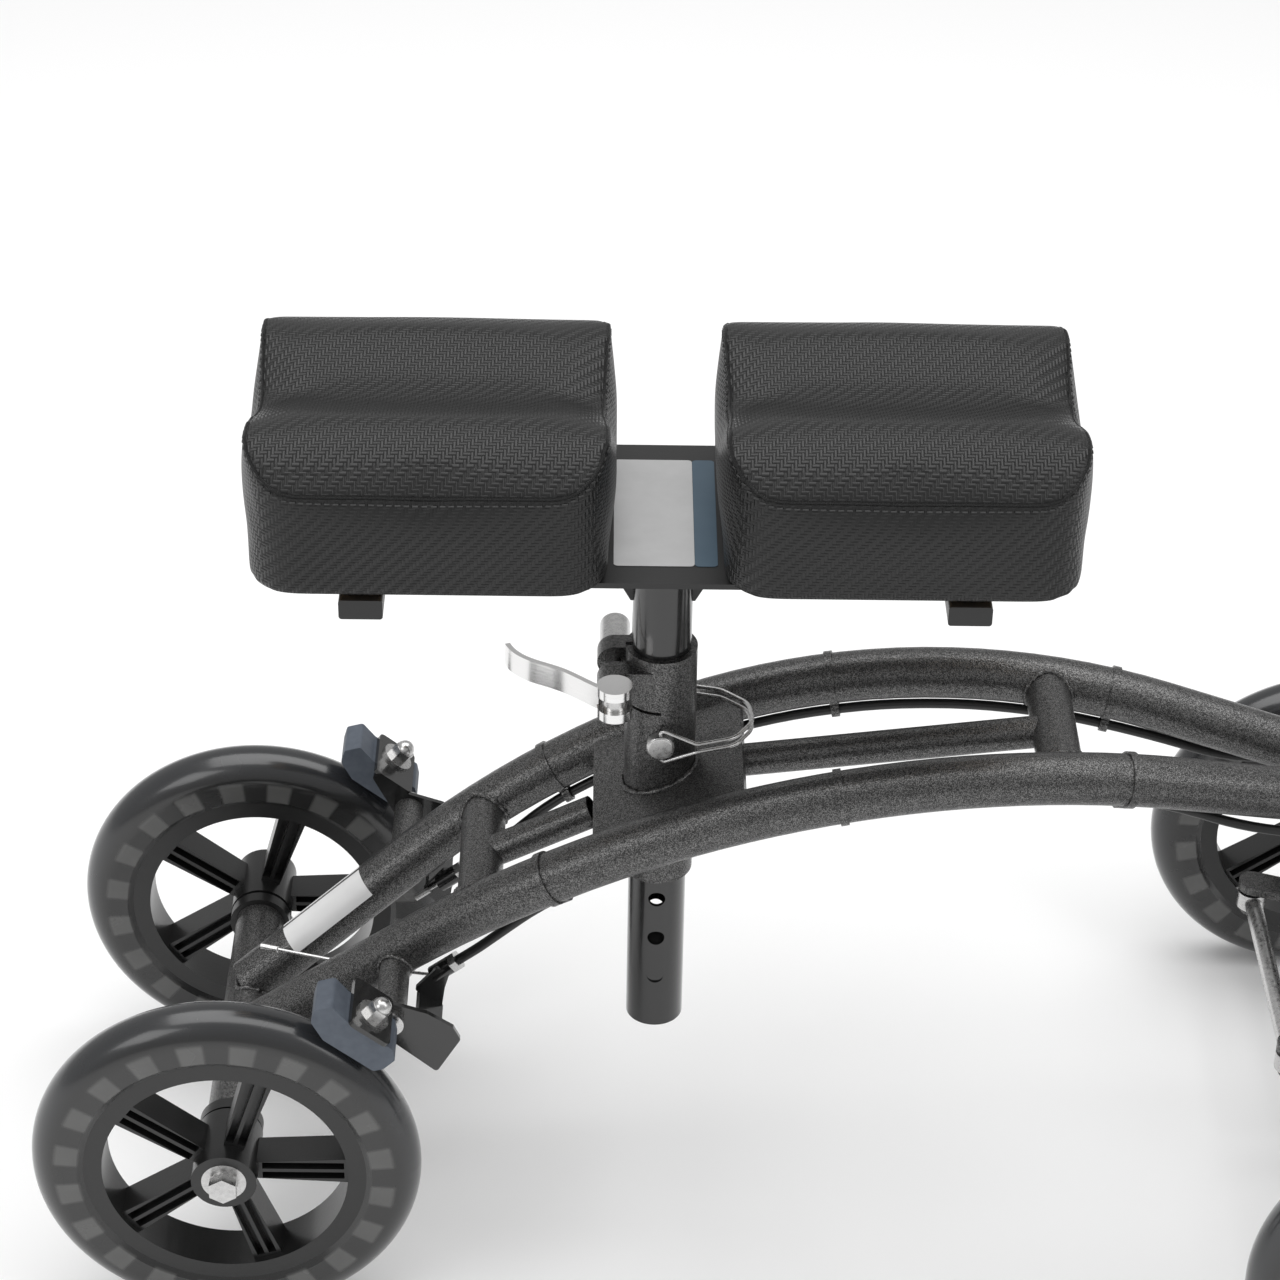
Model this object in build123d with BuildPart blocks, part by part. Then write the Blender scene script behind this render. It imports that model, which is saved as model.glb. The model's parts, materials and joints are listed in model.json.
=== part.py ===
"""Steerable knee scooter with two knee pads, four wheels and a folding handlebar.

Frame: +X points forward, +Y to the rider's left, +Z up, in millimetres.
The origin is on the floor, midway between the front and rear axles.
"""

import os
from math import cos, pi, radians, sin

from build123d import *

os.makedirs("parts", exist_ok=True)

# ---------------------------------------------------------------- driving dimensions
WHEELBASE = 585.0
WHEEL_RADIUS = 95.25
TYRE_WIDTH = 28.0
REAR_HALF_TRACK = 105.0
FRONT_HALF_TRACK = 181.0
POST_SETBACK = 82.8
HANDLEBAR_HEIGHT = 890.0
HANDLEBAR_HALF_WIDTH = 207.0
PAD_LENGTH = 165.0
PAD_HALF_WIDTH = 79.0
PAD_GAP = 50.0
PAD_BOXING_HEIGHT = 54.0
PAD_CREST_HEIGHT = 73.0
PAD_VALLEY_HEIGHT = 61.0

# ---------------------------------------------------------------- fits and clearances
RUNNING = 0.05
SOFT_GAP = 0.3
THRUST_GAP = 0.5

# ---------------------------------------------------------------- places worked out from them
REAR_X = -WHEELBASE / 2
FRONT_X = WHEELBASE / 2
POST_X = -POST_SETBACK
AXLE_Z = WHEEL_RADIUS

# ---------------------------------------------------------------- tubes
RAIL_RADIUS = 12.7
RAIL_WALL = 1.5
RAIL_END_Y = 18.7
RAIL_TOE = -0.103
RAIL_LEAN = 0.3385
RAIL_RISE = 42.3
RAIL_START_UP = 7.4
RAIL_STRAIGHT = 111.3
RAIL_REAR_BEND_RADIUS = 510.0
RAIL_REAR_BEND_ANGLE = 14.0
RAIL_TOP_BEND_RADIUS = 385.0
RAIL_TOP_BEND_ANGLE = 41.8
RAIL_NOSE_LENGTH = WHEELBASE - 460.0
RAIL_MITRE_GAP = 0.05
AXLE_TUBE_RADIUS = 12.7
CENTRE_TUBE_RADIUS = 8.0
CROSS_TUBE_RADIUS = RAIL_RADIUS - 1.7
THIN_WALL = 1.5

# ---------------------------------------------------------------- seat post group
POST_RADIUS = 14.3
POST_WALL = 2.0
POST_BOTTOM = 106.0
HOLE_PITCH = 24.5
PIN_Z = 285.0
PIN_RADIUS = 4.2
PIN_HOLE_RADIUS = PIN_RADIUS + RUNNING
SLEEVE_RADIUS = 17.3
SLEEVE_BOTTOM = 199.5
SLEEVE_TOP = 331.0
SKEWER_Z = 316.0
SKEWER_SETBACK = 22.3
SKEWER_RADIUS = 3.0
EAR_RADIUS = 8.6
EAR_INNER_Y = 6.0
EAR_OUTER_Y = 17.0
PLATE_TOP = 405.0
PLATE_THICKNESS = 2.8
PLATE_HALF_LENGTH = 156.0
PLATE_HALF_WIDTH = 61.5
CROSSBAR_WIDTH = 20.0
CROSSBAR_HEIGHT = 10.0
CROSSBAR_HALF_LENGTH = 74.0
CROSSBAR_REACH = 137.5
BOARD_THICKNESS = 12.0
BOARD_INSET = 9.0
PAD_BOLT_RADIUS = 3.0
PAD_BOLT_HALF_SPACING = 45.0

# ---------------------------------------------------------------- wheels
RIM_INNER_RADIUS = 60.0
RIM_OUTER_RADIUS = 69.0
LUG_OUTER_RADIUS = 82.0
LUG_COUNT = 20
RIM_WIDTH = 24.0
SPOKE_COUNT = 5
HUB_RADIUS = 16.0
HUB_LENGTH = 36.0
BEARING_RADIUS = 11.0
BEARING_WIDTH = 7.0
AXLE_BOLT_RADIUS = 4.0

# ---------------------------------------------------------------- brakes
BRAKE_REACH = WHEEL_RADIUS + 13.675
BRAKE_BEARING = 42.116
BRAKE_PIVOT_X = REAR_X + BRAKE_REACH * cos(radians(BRAKE_BEARING))
BRAKE_PIVOT_Z = AXLE_Z + BRAKE_REACH * sin(radians(BRAKE_BEARING))
BRAKE_PLATE_Y = 85.0
BRAKE_PLATE_THICKNESS = 2.5
BRAKE_BOSS_RADIUS = 7.5
BRAKE_BOLT_RADIUS = 4.0
SHOE_ANGLE = 51.0
SHOE_GAP = 2.6
SHOE_THICKNESS = 16.5

# ---------------------------------------------------------------- steering
HEAD_TUBE_RADIUS = 19.05
HEAD_TUBE_WALL = 2.5
HEAD_TUBE_BOTTOM = 78.0
HEAD_TUBE_TOP = 292.0
COLUMN_RADIUS = 12.7
KINGPIN_HALF_TRACK = 138.0
KINGPIN_TUBE_RADIUS = 11.0
KINGPIN_RADIUS = 5.0
KINGPIN_TUBE_HALF = 20.0
ARM_SETBACK = 40.0
ARM_SPREAD = 14.0
ARM_THICKNESS = 5.0
FOLD_Z = 352.0
CHEEK_INNER_Y = 15.0
CHEEK_THICKNESS = 5.0
MAST_RADIUS = 16.0
MAST_TOP = 650.0
STEM_RADIUS = 14.3
BAR_RADIUS = 11.1
GRIP_RADIUS = 16.5
GRIP_LENGTH = 118.0
CABLE_RADIUS = 2.5


def save(part, name):
    """Label a finished piece and write it to its own STEP file."""
    part.label = name
    export_step(part, f"parts/{name}.step")


def sides():
    """The two sides of the scooter: left is +Y, right is -Y."""
    return (("left", 1), ("right", -1))


# ================================================================ frame tubes
rail_plane = Plane(
    origin=(REAR_X, RAIL_END_Y, AXLE_Z),
    x_dir=(1, RAIL_TOE, 0),
    z_dir=(RAIL_TOE, -1, RAIL_LEAN),
)
with BuildLine(rail_plane) as rail_path:
    rise = (cos(radians(RAIL_RISE)), sin(radians(RAIL_RISE)))
    straight = Line((0, RAIL_START_UP), (rise[0] * RAIL_STRAIGHT, RAIL_START_UP + rise[1] * RAIL_STRAIGHT))
    rear_bend = JernArc(straight @ 1, straight % 1, RAIL_REAR_BEND_RADIUS, -RAIL_REAR_BEND_ANGLE)
    top_bend = JernArc(rear_bend @ 1, rear_bend % 1, RAIL_TOP_BEND_RADIUS, -RAIL_TOP_BEND_ANGLE)
    Line(top_bend @ 1, (top_bend @ 1) + (top_bend % 1) * RAIL_NOSE_LENGTH)


with BuildPart() as rail_envelopes:
    with BuildSketch(Plane(origin=rail_path.line @ 0, z_dir=rail_path.line % 0)):
        Circle(RAIL_RADIUS)
    sweep(path=rail_path.wires()[0])
    mirror(about=Plane.XZ)

with BuildPart() as left_rail:
    with BuildSketch(Plane(origin=rail_path.line @ 0, z_dir=rail_path.line % 0)):
        Circle(RAIL_RADIUS)
        Circle(RAIL_RADIUS - RAIL_WALL, mode=Mode.SUBTRACT)
    sweep(path=rail_path.wires()[0])
    with Locations((REAR_X, 0, AXLE_Z)):
        Cylinder(AXLE_TUBE_RADIUS, 2 * REAR_HALF_TRACK, rotation=(90, 0, 0), mode=Mode.SUBTRACT)
    with Locations((FRONT_X, 0, HEAD_TUBE_TOP / 2)):
        Cylinder(HEAD_TUBE_RADIUS, HEAD_TUBE_TOP, mode=Mode.SUBTRACT)
    with Locations((FRONT_X, RAIL_MITRE_GAP - RAIL_RADIUS, HEAD_TUBE_TOP / 2)):
        Box(8 * RAIL_RADIUS, 2 * RAIL_RADIUS, HEAD_TUBE_TOP, mode=Mode.SUBTRACT)
save(left_rail.part, "left_rail")

with BuildPart() as right_rail:
    mirror(left_rail.part, about=Plane.XZ)
save(right_rail.part, "right_rail")


def rod(start, end, radius):
    """A solid round bar between two points."""
    run = Vector(*end) - Vector(*start)
    with BuildPart() as bar:
        with BuildSketch(Plane(origin=start, z_dir=run)):
            Circle(radius)
        extrude(amount=run.length)
    return bar.part


CROSS_FRONT = (109.1, 283.0)
CROSS_REAR = (-170.2, 202.5)
CROSS_HALF_SPAN = 42.0
with BuildPart() as cross_tubes:
    for x, z in (CROSS_FRONT, CROSS_REAR):
        with Locations((x, 0, z)):
            Cylinder(CROSS_TUBE_RADIUS, 2 * CROSS_HALF_SPAN, rotation=(90, 0, 0))
            Cylinder(
                CROSS_TUBE_RADIUS - THIN_WALL, 2 * CROSS_HALF_SPAN, rotation=(90, 0, 0), mode=Mode.SUBTRACT
            )
    add(rail_envelopes.part, mode=Mode.SUBTRACT)
save(cross_tubes.part, "cross_tubes")

# The bracket plate slopes with the rails and carries a flange at each end.
BRACKET_REAR_X = -115.0
BRACKET_FRONT_X = -42.6
BRACKET_REAR_Z = 245.0
BRACKET_FRONT_Z = 273.0
BRACKET_THICKNESS = 4.0
BRACKET_HALF_WIDTH = 44.0
BRACKET_CORNER = 10.0
FLANGE_DEPTH = 24.0
FLANGE_HALF_WIDTH = 29.0
bracket_run = Vector(BRACKET_FRONT_X - BRACKET_REAR_X, 0, BRACKET_FRONT_Z - BRACKET_REAR_Z)
bracket_middle = ((BRACKET_REAR_X + BRACKET_FRONT_X) / 2, 0, (BRACKET_REAR_Z + BRACKET_FRONT_Z) / 2)
with BuildPart() as seat_bracket:
    with BuildSketch(Plane(origin=bracket_middle, x_dir=bracket_run, z_dir=(-bracket_run.Z, 0, bracket_run.X))):
        Rectangle(bracket_run.length, 2 * BRACKET_HALF_WIDTH)
        fillet(vertices().group_by(Axis.X)[0], BRACKET_CORNER)
    extrude(amount=-BRACKET_THICKNESS)
    for x, z in (
        (BRACKET_REAR_X + BRACKET_THICKNESS / 2, BRACKET_REAR_Z),
        (BRACKET_FRONT_X - BRACKET_THICKNESS / 2, BRACKET_FRONT_Z),
    ):
        with Locations((x, 0, z - BRACKET_THICKNESS / 2 - FLANGE_DEPTH / 2)):
            Box(BRACKET_THICKNESS, 2 * FLANGE_HALF_WIDTH, FLANGE_DEPTH)
    with Locations((POST_X, 0, PIN_Z)):
        Cylinder(SLEEVE_RADIUS, 2 * (SLEEVE_TOP - SLEEVE_BOTTOM), mode=Mode.SUBTRACT)
    add(rail_envelopes.part, mode=Mode.SUBTRACT)
save(seat_bracket.part, "seat_bracket")

CENTRE_FRONT_Z = 263.0
CENTRE_REAR_Z = 231.0
centre_runs = (
    ((BRACKET_FRONT_X, 0, CENTRE_FRONT_Z), (CROSS_FRONT[0], 0, CROSS_FRONT[1])),
    ((BRACKET_REAR_X, 0, CENTRE_REAR_Z), (CROSS_REAR[0], 0, CROSS_REAR[1])),
)
centre_bars = [rod(start, end, CENTRE_TUBE_RADIUS) for start, end in centre_runs]
centre_bores = [rod(start, end, CENTRE_TUBE_RADIUS - THIN_WALL) for start, end in centre_runs]
with BuildPart() as centre_tubes:
    add(centre_bars)
    add(centre_bores, mode=Mode.SUBTRACT)
    for x, z in (CROSS_FRONT, CROSS_REAR):
        with Locations((x, 0, z)):
            Cylinder(CROSS_TUBE_RADIUS, 2 * CROSS_HALF_SPAN, rotation=(90, 0, 0), mode=Mode.SUBTRACT)
    with Locations(((BRACKET_REAR_X + BRACKET_FRONT_X) / 2, 0, bracket_middle[2])):
        Box(bracket_run.X, 2 * FLANGE_HALF_WIDTH, 3 * FLANGE_DEPTH, mode=Mode.SUBTRACT)
    add(seat_bracket.part, mode=Mode.SUBTRACT)
save(centre_tubes.part, "centre_tubes")

AXLE_TUBE_WALL = 2.0
AXLE_TUBE_HALF = REAR_HALF_TRACK - HUB_LENGTH / 2 - 1.5
AXLE_PLUG_LENGTH = 25.0
with BuildPart() as rear_axle_tube:
    with Locations((REAR_X, 0, AXLE_Z)):
        Cylinder(AXLE_TUBE_RADIUS, 2 * AXLE_TUBE_HALF, rotation=(90, 0, 0))
        Cylinder(
            AXLE_TUBE_RADIUS - AXLE_TUBE_WALL,
            2 * (AXLE_TUBE_HALF - AXLE_PLUG_LENGTH),
            rotation=(90, 0, 0),
            mode=Mode.SUBTRACT,
        )
        Cylinder(AXLE_BOLT_RADIUS, 2 * AXLE_TUBE_HALF, rotation=(90, 0, 0), mode=Mode.SUBTRACT)
save(rear_axle_tube.part, "rear_axle_tube")

CAP_RADIUS = 15.7
CAP_LENGTH = 6.5
with BuildPart() as axle_end_caps:
    for _, side in sides():
        with Locations((REAR_X, side * (AXLE_TUBE_HALF - CAP_LENGTH / 2), AXLE_Z)):
            Cylinder(CAP_RADIUS, CAP_LENGTH, rotation=(90, 0, 0))
            Cylinder(AXLE_TUBE_RADIUS + RUNNING, CAP_LENGTH, rotation=(90, 0, 0), mode=Mode.SUBTRACT)
save(axle_end_caps.part, "axle_end_caps")

# ================================================================ seat sleeve, clamp and lock pin
SKEWER_X = POST_X - SKEWER_SETBACK
SLIT_WIDTH = 3.0
SLIT_BOTTOM = 301.0
RELIEF_HEIGHT = 1.6
with BuildPart() as seat_sleeve:
    with BuildSketch(Plane.XY.offset(SLEEVE_BOTTOM)):
        with Locations((POST_X, 0)):
            Circle(SLEEVE_RADIUS)
    extrude(amount=SLEEVE_TOP - SLEEVE_BOTTOM)
    for _, side in sides():
        ear_middle = side * (EAR_INNER_Y + EAR_OUTER_Y) / 2
        with Locations((SKEWER_X, ear_middle, SKEWER_Z)):
            Cylinder(EAR_RADIUS, EAR_OUTER_Y - EAR_INNER_Y, rotation=(90, 0, 0))
        with Locations((SKEWER_X + SKEWER_SETBACK / 2, ear_middle, SKEWER_Z)):
            Box(SKEWER_SETBACK, EAR_OUTER_Y - EAR_INNER_Y, 2 * EAR_RADIUS)
    with Locations((POST_X, 0, (SLEEVE_BOTTOM + SLEEVE_TOP) / 2)):
        Cylinder(POST_RADIUS + RUNNING, SLEEVE_TOP, mode=Mode.SUBTRACT)
    with Locations((SKEWER_X, 0, (SLIT_BOTTOM + SLEEVE_TOP) / 2)):
        Box(2 * SKEWER_SETBACK, SLIT_WIDTH, SLEEVE_TOP - SLIT_BOTTOM, mode=Mode.SUBTRACT)
    with Locations((SKEWER_X, 0, SLIT_BOTTOM + RELIEF_HEIGHT / 2)):
        Box(2 * SKEWER_SETBACK, 3 * SLEEVE_RADIUS, RELIEF_HEIGHT, mode=Mode.SUBTRACT)
    with Locations((SKEWER_X, 0, SKEWER_Z)):
        Cylinder(SKEWER_RADIUS + RUNNING, 4 * EAR_OUTER_Y, rotation=(90, 0, 0), mode=Mode.SUBTRACT)
    with Locations((POST_X, 0, PIN_Z)):
        Cylinder(PIN_HOLE_RADIUS, 4 * SLEEVE_RADIUS, rotation=(90, 0, 0), mode=Mode.SUBTRACT)
save(seat_sleeve.part, "seat_sleeve")

EYE_RADIUS = 6.0
EYE_HALF_HEIGHT = 3.5
EYE_PIN_RADIUS = 3.0
LEVER_DISC_RADIUS = 8.5
LEVER_DISC_TOP = 8.5
LEVER_STRIP_HALF = 6.0
LEVER_STRIP_THICKNESS = 2.6


def skewer(x, z, face_y, radius, nut_length, nut_radius):
    """A clamp bolt along Y: an eye at its right end and a round nut at its left end."""
    eye_y = -(face_y + LEVER_DISC_RADIUS + RUNNING)
    washer = 1.2
    nut_start = face_y + washer
    with BuildPart() as bolt:
        with BuildSketch(Plane(origin=(x, eye_y, z), z_dir=(0, 1, 0))):
            Circle(SKEWER_RADIUS)
        extrude(amount=-face_y - eye_y)
        with BuildSketch(Plane(origin=(x, -face_y, z), z_dir=(0, 1, 0))):
            Circle(radius)
        extrude(amount=nut_start + nut_length + face_y)
        with BuildSketch(Plane(origin=(x, nut_start, z), z_dir=(0, 1, 0))):
            Circle(nut_radius)
        extrude(amount=nut_length)
        with BuildSketch(Plane(origin=(x, face_y + RUNNING, z), z_dir=(0, 1, 0))):
            Circle(nut_radius + 1)
        extrude(amount=washer - RUNNING)
        with Locations((x, eye_y, z)):
            Cylinder(EYE_RADIUS, 2 * EYE_HALF_HEIGHT)
            Cylinder(EYE_PIN_RADIUS + RUNNING, 4 * EYE_HALF_HEIGHT, mode=Mode.SUBTRACT)
    return bolt.part


def cam_lever(x, z, face_y, strip_points):
    """A quick-release lever: two cam discs on a pin through the skewer's eye, and a bent strip."""
    eye_y = -(face_y + LEVER_DISC_RADIUS + RUNNING)
    disc_bottom = EYE_HALF_HEIGHT + RUNNING
    with BuildPart() as lever:
        for low, high in ((disc_bottom, LEVER_DISC_TOP), (-LEVER_DISC_TOP, -disc_bottom)):
            with BuildSketch(Plane.XY.offset(z + low)):
                with Locations((x, eye_y)):
                    Circle(LEVER_DISC_RADIUS)
            extrude(amount=high - low)
        with BuildSketch(Plane.XY.offset(z - LEVER_DISC_TOP)):
            with Locations((x, eye_y)):
                Circle(EYE_PIN_RADIUS)
        extrude(amount=2 * LEVER_DISC_TOP)
        with BuildSketch(Plane.XY.offset(z - LEVER_STRIP_HALF)):
            with BuildLine():
                Spline([(x + px, eye_y + py) for px, py in strip_points])
            trace(line_width=LEVER_STRIP_THICKNESS)
        extrude(amount=2 * LEVER_STRIP_HALF)
    return lever.part


clamp_skewer = skewer(SKEWER_X, SKEWER_Z, EAR_OUTER_Y, SKEWER_RADIUS, 20.0, 7.4)
save(clamp_skewer, "clamp_skewer")
seat_clamp_lever = cam_lever(
    SKEWER_X, SKEWER_Z, EAR_OUTER_Y, [(-6.9, 1.5), (-15.0, 8.0), (-26.0, 16.5), (-40.0, 24.0), (-52.0, 38.0)]
)
save(seat_clamp_lever, "seat_clamp_lever")

PIN_HEAD_RADIUS = 6.75
PIN_HEAD_LENGTH = 5.5
PIN_TIP_Y = 20.5
BAIL_WIRE_RADIUS = 1.0
BAIL_HINGE_Y = -(SLEEVE_RADIUS + RUNNING + PIN_HEAD_LENGTH / 2)
BAIL_SOCKET_DEPTH = 2.5
with BuildPart() as lock_pin:
    with BuildSketch(Plane(origin=(POST_X, -SLEEVE_RADIUS - RUNNING, PIN_Z), z_dir=(0, 1, 0))):
        Circle(PIN_RADIUS)
    extrude(amount=SLEEVE_RADIUS + RUNNING + PIN_TIP_Y)
    chamfer(edges().group_by(Axis.Y)[-1], 1.5)
    with BuildSketch(Plane(origin=(POST_X, -SLEEVE_RADIUS - RUNNING, PIN_Z), z_dir=(0, -1, 0))):
        Circle(PIN_HEAD_RADIUS)
    extrude(amount=PIN_HEAD_LENGTH)
    fillet(edges().group_by(Axis.Y)[0], 1.2)
    for up in (1, -1):
        with Locations((POST_X, BAIL_HINGE_Y, PIN_Z + up * PIN_HEAD_RADIUS)):
            Cylinder(BAIL_WIRE_RADIUS + RUNNING, 2 * BAIL_SOCKET_DEPTH, mode=Mode.SUBTRACT)
save(lock_pin.part, "lock_pin")

# The wire bail runs from the head's top, round the sleeve and back to the head's bottom.
# Each point gives x and y from the post's axis, the bail's rise, and half its wires' spacing.
BAIL_HALF_SPACING = 2.2
BAIL_SHOULDER = PIN_HEAD_RADIUS + 3.0
bail_points = [
    (0.0, BAIL_HINGE_Y, 0.0, PIN_HEAD_RADIUS - BAIL_SOCKET_DEPTH + 0.4),
    (0.0, BAIL_HINGE_Y, 0.0, BAIL_SHOULDER),
    (17.5, BAIL_HINGE_Y - 3.5, 1.5, BAIL_HALF_SPACING),
    (36.0, BAIL_HINGE_Y + 1.0, 2.5, BAIL_HALF_SPACING),
    (45.0, BAIL_HINGE_Y + 14.0, 3.5, BAIL_HALF_SPACING),
    (43.0, BAIL_HINGE_Y + 29.0, 3.5, BAIL_HALF_SPACING),
    (30.0, BAIL_HINGE_Y + 41.0, 3.0, BAIL_HALF_SPACING),
    (14.0, BAIL_HINGE_Y + 46.0, 2.0, BAIL_HALF_SPACING),
    (-3.0, BAIL_HINGE_Y + 46.5, 1.0, BAIL_HALF_SPACING),
]
bail_bend_radii = [2.0, 5.0, 12.0, 12.0, 12.0, 14.0, 16.0]
bail_end = bail_points[-1]
with BuildPart() as pin_bail:
    for up in (1, -1):
        with BuildLine() as bail_wire:
            FilletPolyline(
                [(POST_X + x, y, PIN_Z + rise + up * half) for x, y, rise, half in bail_points],
                radius=bail_bend_radii,
            )
        with BuildSketch(Plane(origin=bail_wire.line @ 0, z_dir=bail_wire.line % 0)):
            Circle(BAIL_WIRE_RADIUS)
        sweep(path=bail_wire.wires()[0])
    with Locations((POST_X + bail_end[0], bail_end[1], PIN_Z + bail_end[2])):
        Cylinder(BAIL_WIRE_RADIUS, 2 * BAIL_HALF_SPACING + BAIL_WIRE_RADIUS)
save(pin_bail.part, "pin_bail")

# ================================================================ seat post, plate and pads
POST_HOLES_ABOVE = 1
POST_HOLES_BELOW = 5
DIMPLE_DEPTH = 1.0
PLATE_BOTTOM = PLATE_TOP - PLATE_THICKNESS
with BuildPart() as seat_post:
    with BuildSketch(Plane.XY.offset(POST_BOTTOM)):
        with Locations((POST_X, 0)):
            Circle(POST_RADIUS)
            Circle(POST_RADIUS - POST_WALL, mode=Mode.SUBTRACT)
    extrude(amount=PLATE_BOTTOM - POST_BOTTOM)
    for step in range(-POST_HOLES_BELOW, POST_HOLES_ABOVE + 1):
        with Locations((POST_X, 0, PIN_Z + step * HOLE_PITCH)):
            Cylinder(PIN_HOLE_RADIUS, 4 * POST_RADIUS, rotation=(90, 0, 0), mode=Mode.SUBTRACT)
    with Locations((POST_X, -POST_RADIUS, PIN_Z - (POST_HOLES_BELOW + 1) * HOLE_PITCH)):
        Cylinder(PIN_HOLE_RADIUS, 2 * DIMPLE_DEPTH, rotation=(90, 0, 0), mode=Mode.SUBTRACT)
save(seat_post.part, "seat_post")

GUSSET_REACH = 40.0
GUSSET_BOTTOM = 357.0
GUSSET_THICKNESS = 4.0
PLATE_CORNER = 6.0
INNER_BOLT_X = PAD_GAP / 2 + 22.0
BOLT_HEAD_RADIUS = 6.0
BOLT_HEAD_HEIGHT = 3.2
BOLT_IN_BOARD = 8.0
bolt_spots = [
    (x, side * PAD_BOLT_HALF_SPACING)
    for x in (-CROSSBAR_REACH, -INNER_BOLT_X, INNER_BOLT_X, CROSSBAR_REACH)
    for _, side in sides()
]
with BuildPart() as seat_plate:
    with BuildSketch(Plane.XY.offset(PLATE_BOTTOM)):
        with Locations((POST_X, 0)):
            RectangleRounded(2 * PLATE_HALF_LENGTH, 2 * PLATE_HALF_WIDTH, PLATE_CORNER)
        with Locations([(POST_X + x, y) for x, y in bolt_spots]):
            Circle(PAD_BOLT_RADIUS + 0.2, mode=Mode.SUBTRACT)
    extrude(amount=PLATE_THICKNESS)
    with BuildSketch(Plane.XZ.offset(-GUSSET_THICKNESS / 2)):
        with BuildLine():
            Polyline(
                (POST_X - GUSSET_REACH, PLATE_BOTTOM),
                (POST_X - POST_RADIUS - 1, GUSSET_BOTTOM),
                (POST_X + POST_RADIUS + 1, GUSSET_BOTTOM),
                (POST_X + GUSSET_REACH, PLATE_BOTTOM),
                close=True,
            )
        make_face()
    extrude(amount=GUSSET_THICKNESS)
    with Locations((POST_X, 0, (GUSSET_BOTTOM + PLATE_BOTTOM) / 2)):
        Cylinder(POST_RADIUS, PLATE_BOTTOM - GUSSET_BOTTOM, mode=Mode.SUBTRACT)
save(seat_plate.part, "seat_plate")

with BuildPart() as pad_crossbars:
    for side in (-1, 1):
        with Locations((POST_X + side * CROSSBAR_REACH, 0, PLATE_BOTTOM - CROSSBAR_HEIGHT / 2)):
            Box(CROSSBAR_WIDTH, 2 * CROSSBAR_HALF_LENGTH, CROSSBAR_HEIGHT)
    fillet(edges().filter_by(Axis.Y), 1.5)
    for x, y in bolt_spots:
        with Locations((POST_X + x, y, PLATE_BOTTOM - CROSSBAR_HEIGHT / 2)):
            Cylinder(PAD_BOLT_RADIUS + 0.2, 2 * CROSSBAR_HEIGHT, mode=Mode.SUBTRACT)
save(pad_crossbars.part, "pad_crossbars")

PAD_CORNER = 22.0
CREST_Y = 48.0
pad_offset = (PAD_GAP + PAD_LENGTH) / 2
pad_middles = (("rear_pad", POST_X - pad_offset), ("front_pad", POST_X + pad_offset))
for pad_name, middle_x in pad_middles:
    with BuildPart() as pad:
        with BuildSketch(Plane.YZ.offset(middle_x - PAD_LENGTH / 2)):
            with BuildLine():
                Polyline(
                    (-PAD_HALF_WIDTH, PLATE_TOP + PAD_BOXING_HEIGHT),
                    (-PAD_HALF_WIDTH, PLATE_TOP + SOFT_GAP),
                    (PAD_HALF_WIDTH, PLATE_TOP + SOFT_GAP),
                    (PAD_HALF_WIDTH, PLATE_TOP + PAD_BOXING_HEIGHT),
                )
                Spline(
                    (-PAD_HALF_WIDTH, PLATE_TOP + PAD_BOXING_HEIGHT),
                    (-CREST_Y, PLATE_TOP + PAD_CREST_HEIGHT),
                    (0, PLATE_TOP + PAD_VALLEY_HEIGHT),
                    (CREST_Y, PLATE_TOP + PAD_CREST_HEIGHT),
                    (PAD_HALF_WIDTH, PLATE_TOP + PAD_BOXING_HEIGHT),
                )
            make_face()
        extrude(amount=PAD_LENGTH)
        fillet(edges().filter_by(Axis.Z), PAD_CORNER)
        with Locations((middle_x, 0, PLATE_TOP + BOARD_THICKNESS / 2)):
            Box(
                PAD_LENGTH - 2 * BOARD_INSET + 2 * SOFT_GAP,
                2 * (PAD_HALF_WIDTH - BOARD_INSET + SOFT_GAP),
                BOARD_THICKNESS + 2 * SOFT_GAP,
                mode=Mode.SUBTRACT,
            )
    save(pad.part, pad_name)

with BuildPart() as pad_boards:
    for _, middle_x in pad_middles:
        with Locations((middle_x, 0, PLATE_TOP + BOARD_THICKNESS / 2)):
            Box(PAD_LENGTH - 2 * BOARD_INSET, 2 * (PAD_HALF_WIDTH - BOARD_INSET), BOARD_THICKNESS)
    fillet(edges().filter_by(Axis.Z), PAD_CORNER - BOARD_INSET)
    for x, y in bolt_spots:
        with Locations((POST_X + x, y, PLATE_TOP)):
            Cylinder(PAD_BOLT_RADIUS + RUNNING, 2 * (BOLT_IN_BOARD + 1), mode=Mode.SUBTRACT)
save(pad_boards.part, "pad_boards")

with BuildPart() as pad_bolts:
    for x, y in bolt_spots:
        seat_z = PLATE_BOTTOM - CROSSBAR_HEIGHT if abs(x) == CROSSBAR_REACH else PLATE_BOTTOM
        with Locations((POST_X + x, y, seat_z - BOLT_HEAD_HEIGHT / 2)):
            Cylinder(BOLT_HEAD_RADIUS, BOLT_HEAD_HEIGHT)
        with Locations((POST_X + x, y, (seat_z + PLATE_TOP + BOLT_IN_BOARD) / 2)):
            Cylinder(PAD_BOLT_RADIUS, PLATE_TOP + BOLT_IN_BOARD - seat_z)
save(pad_bolts.part, "pad_bolts")

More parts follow.
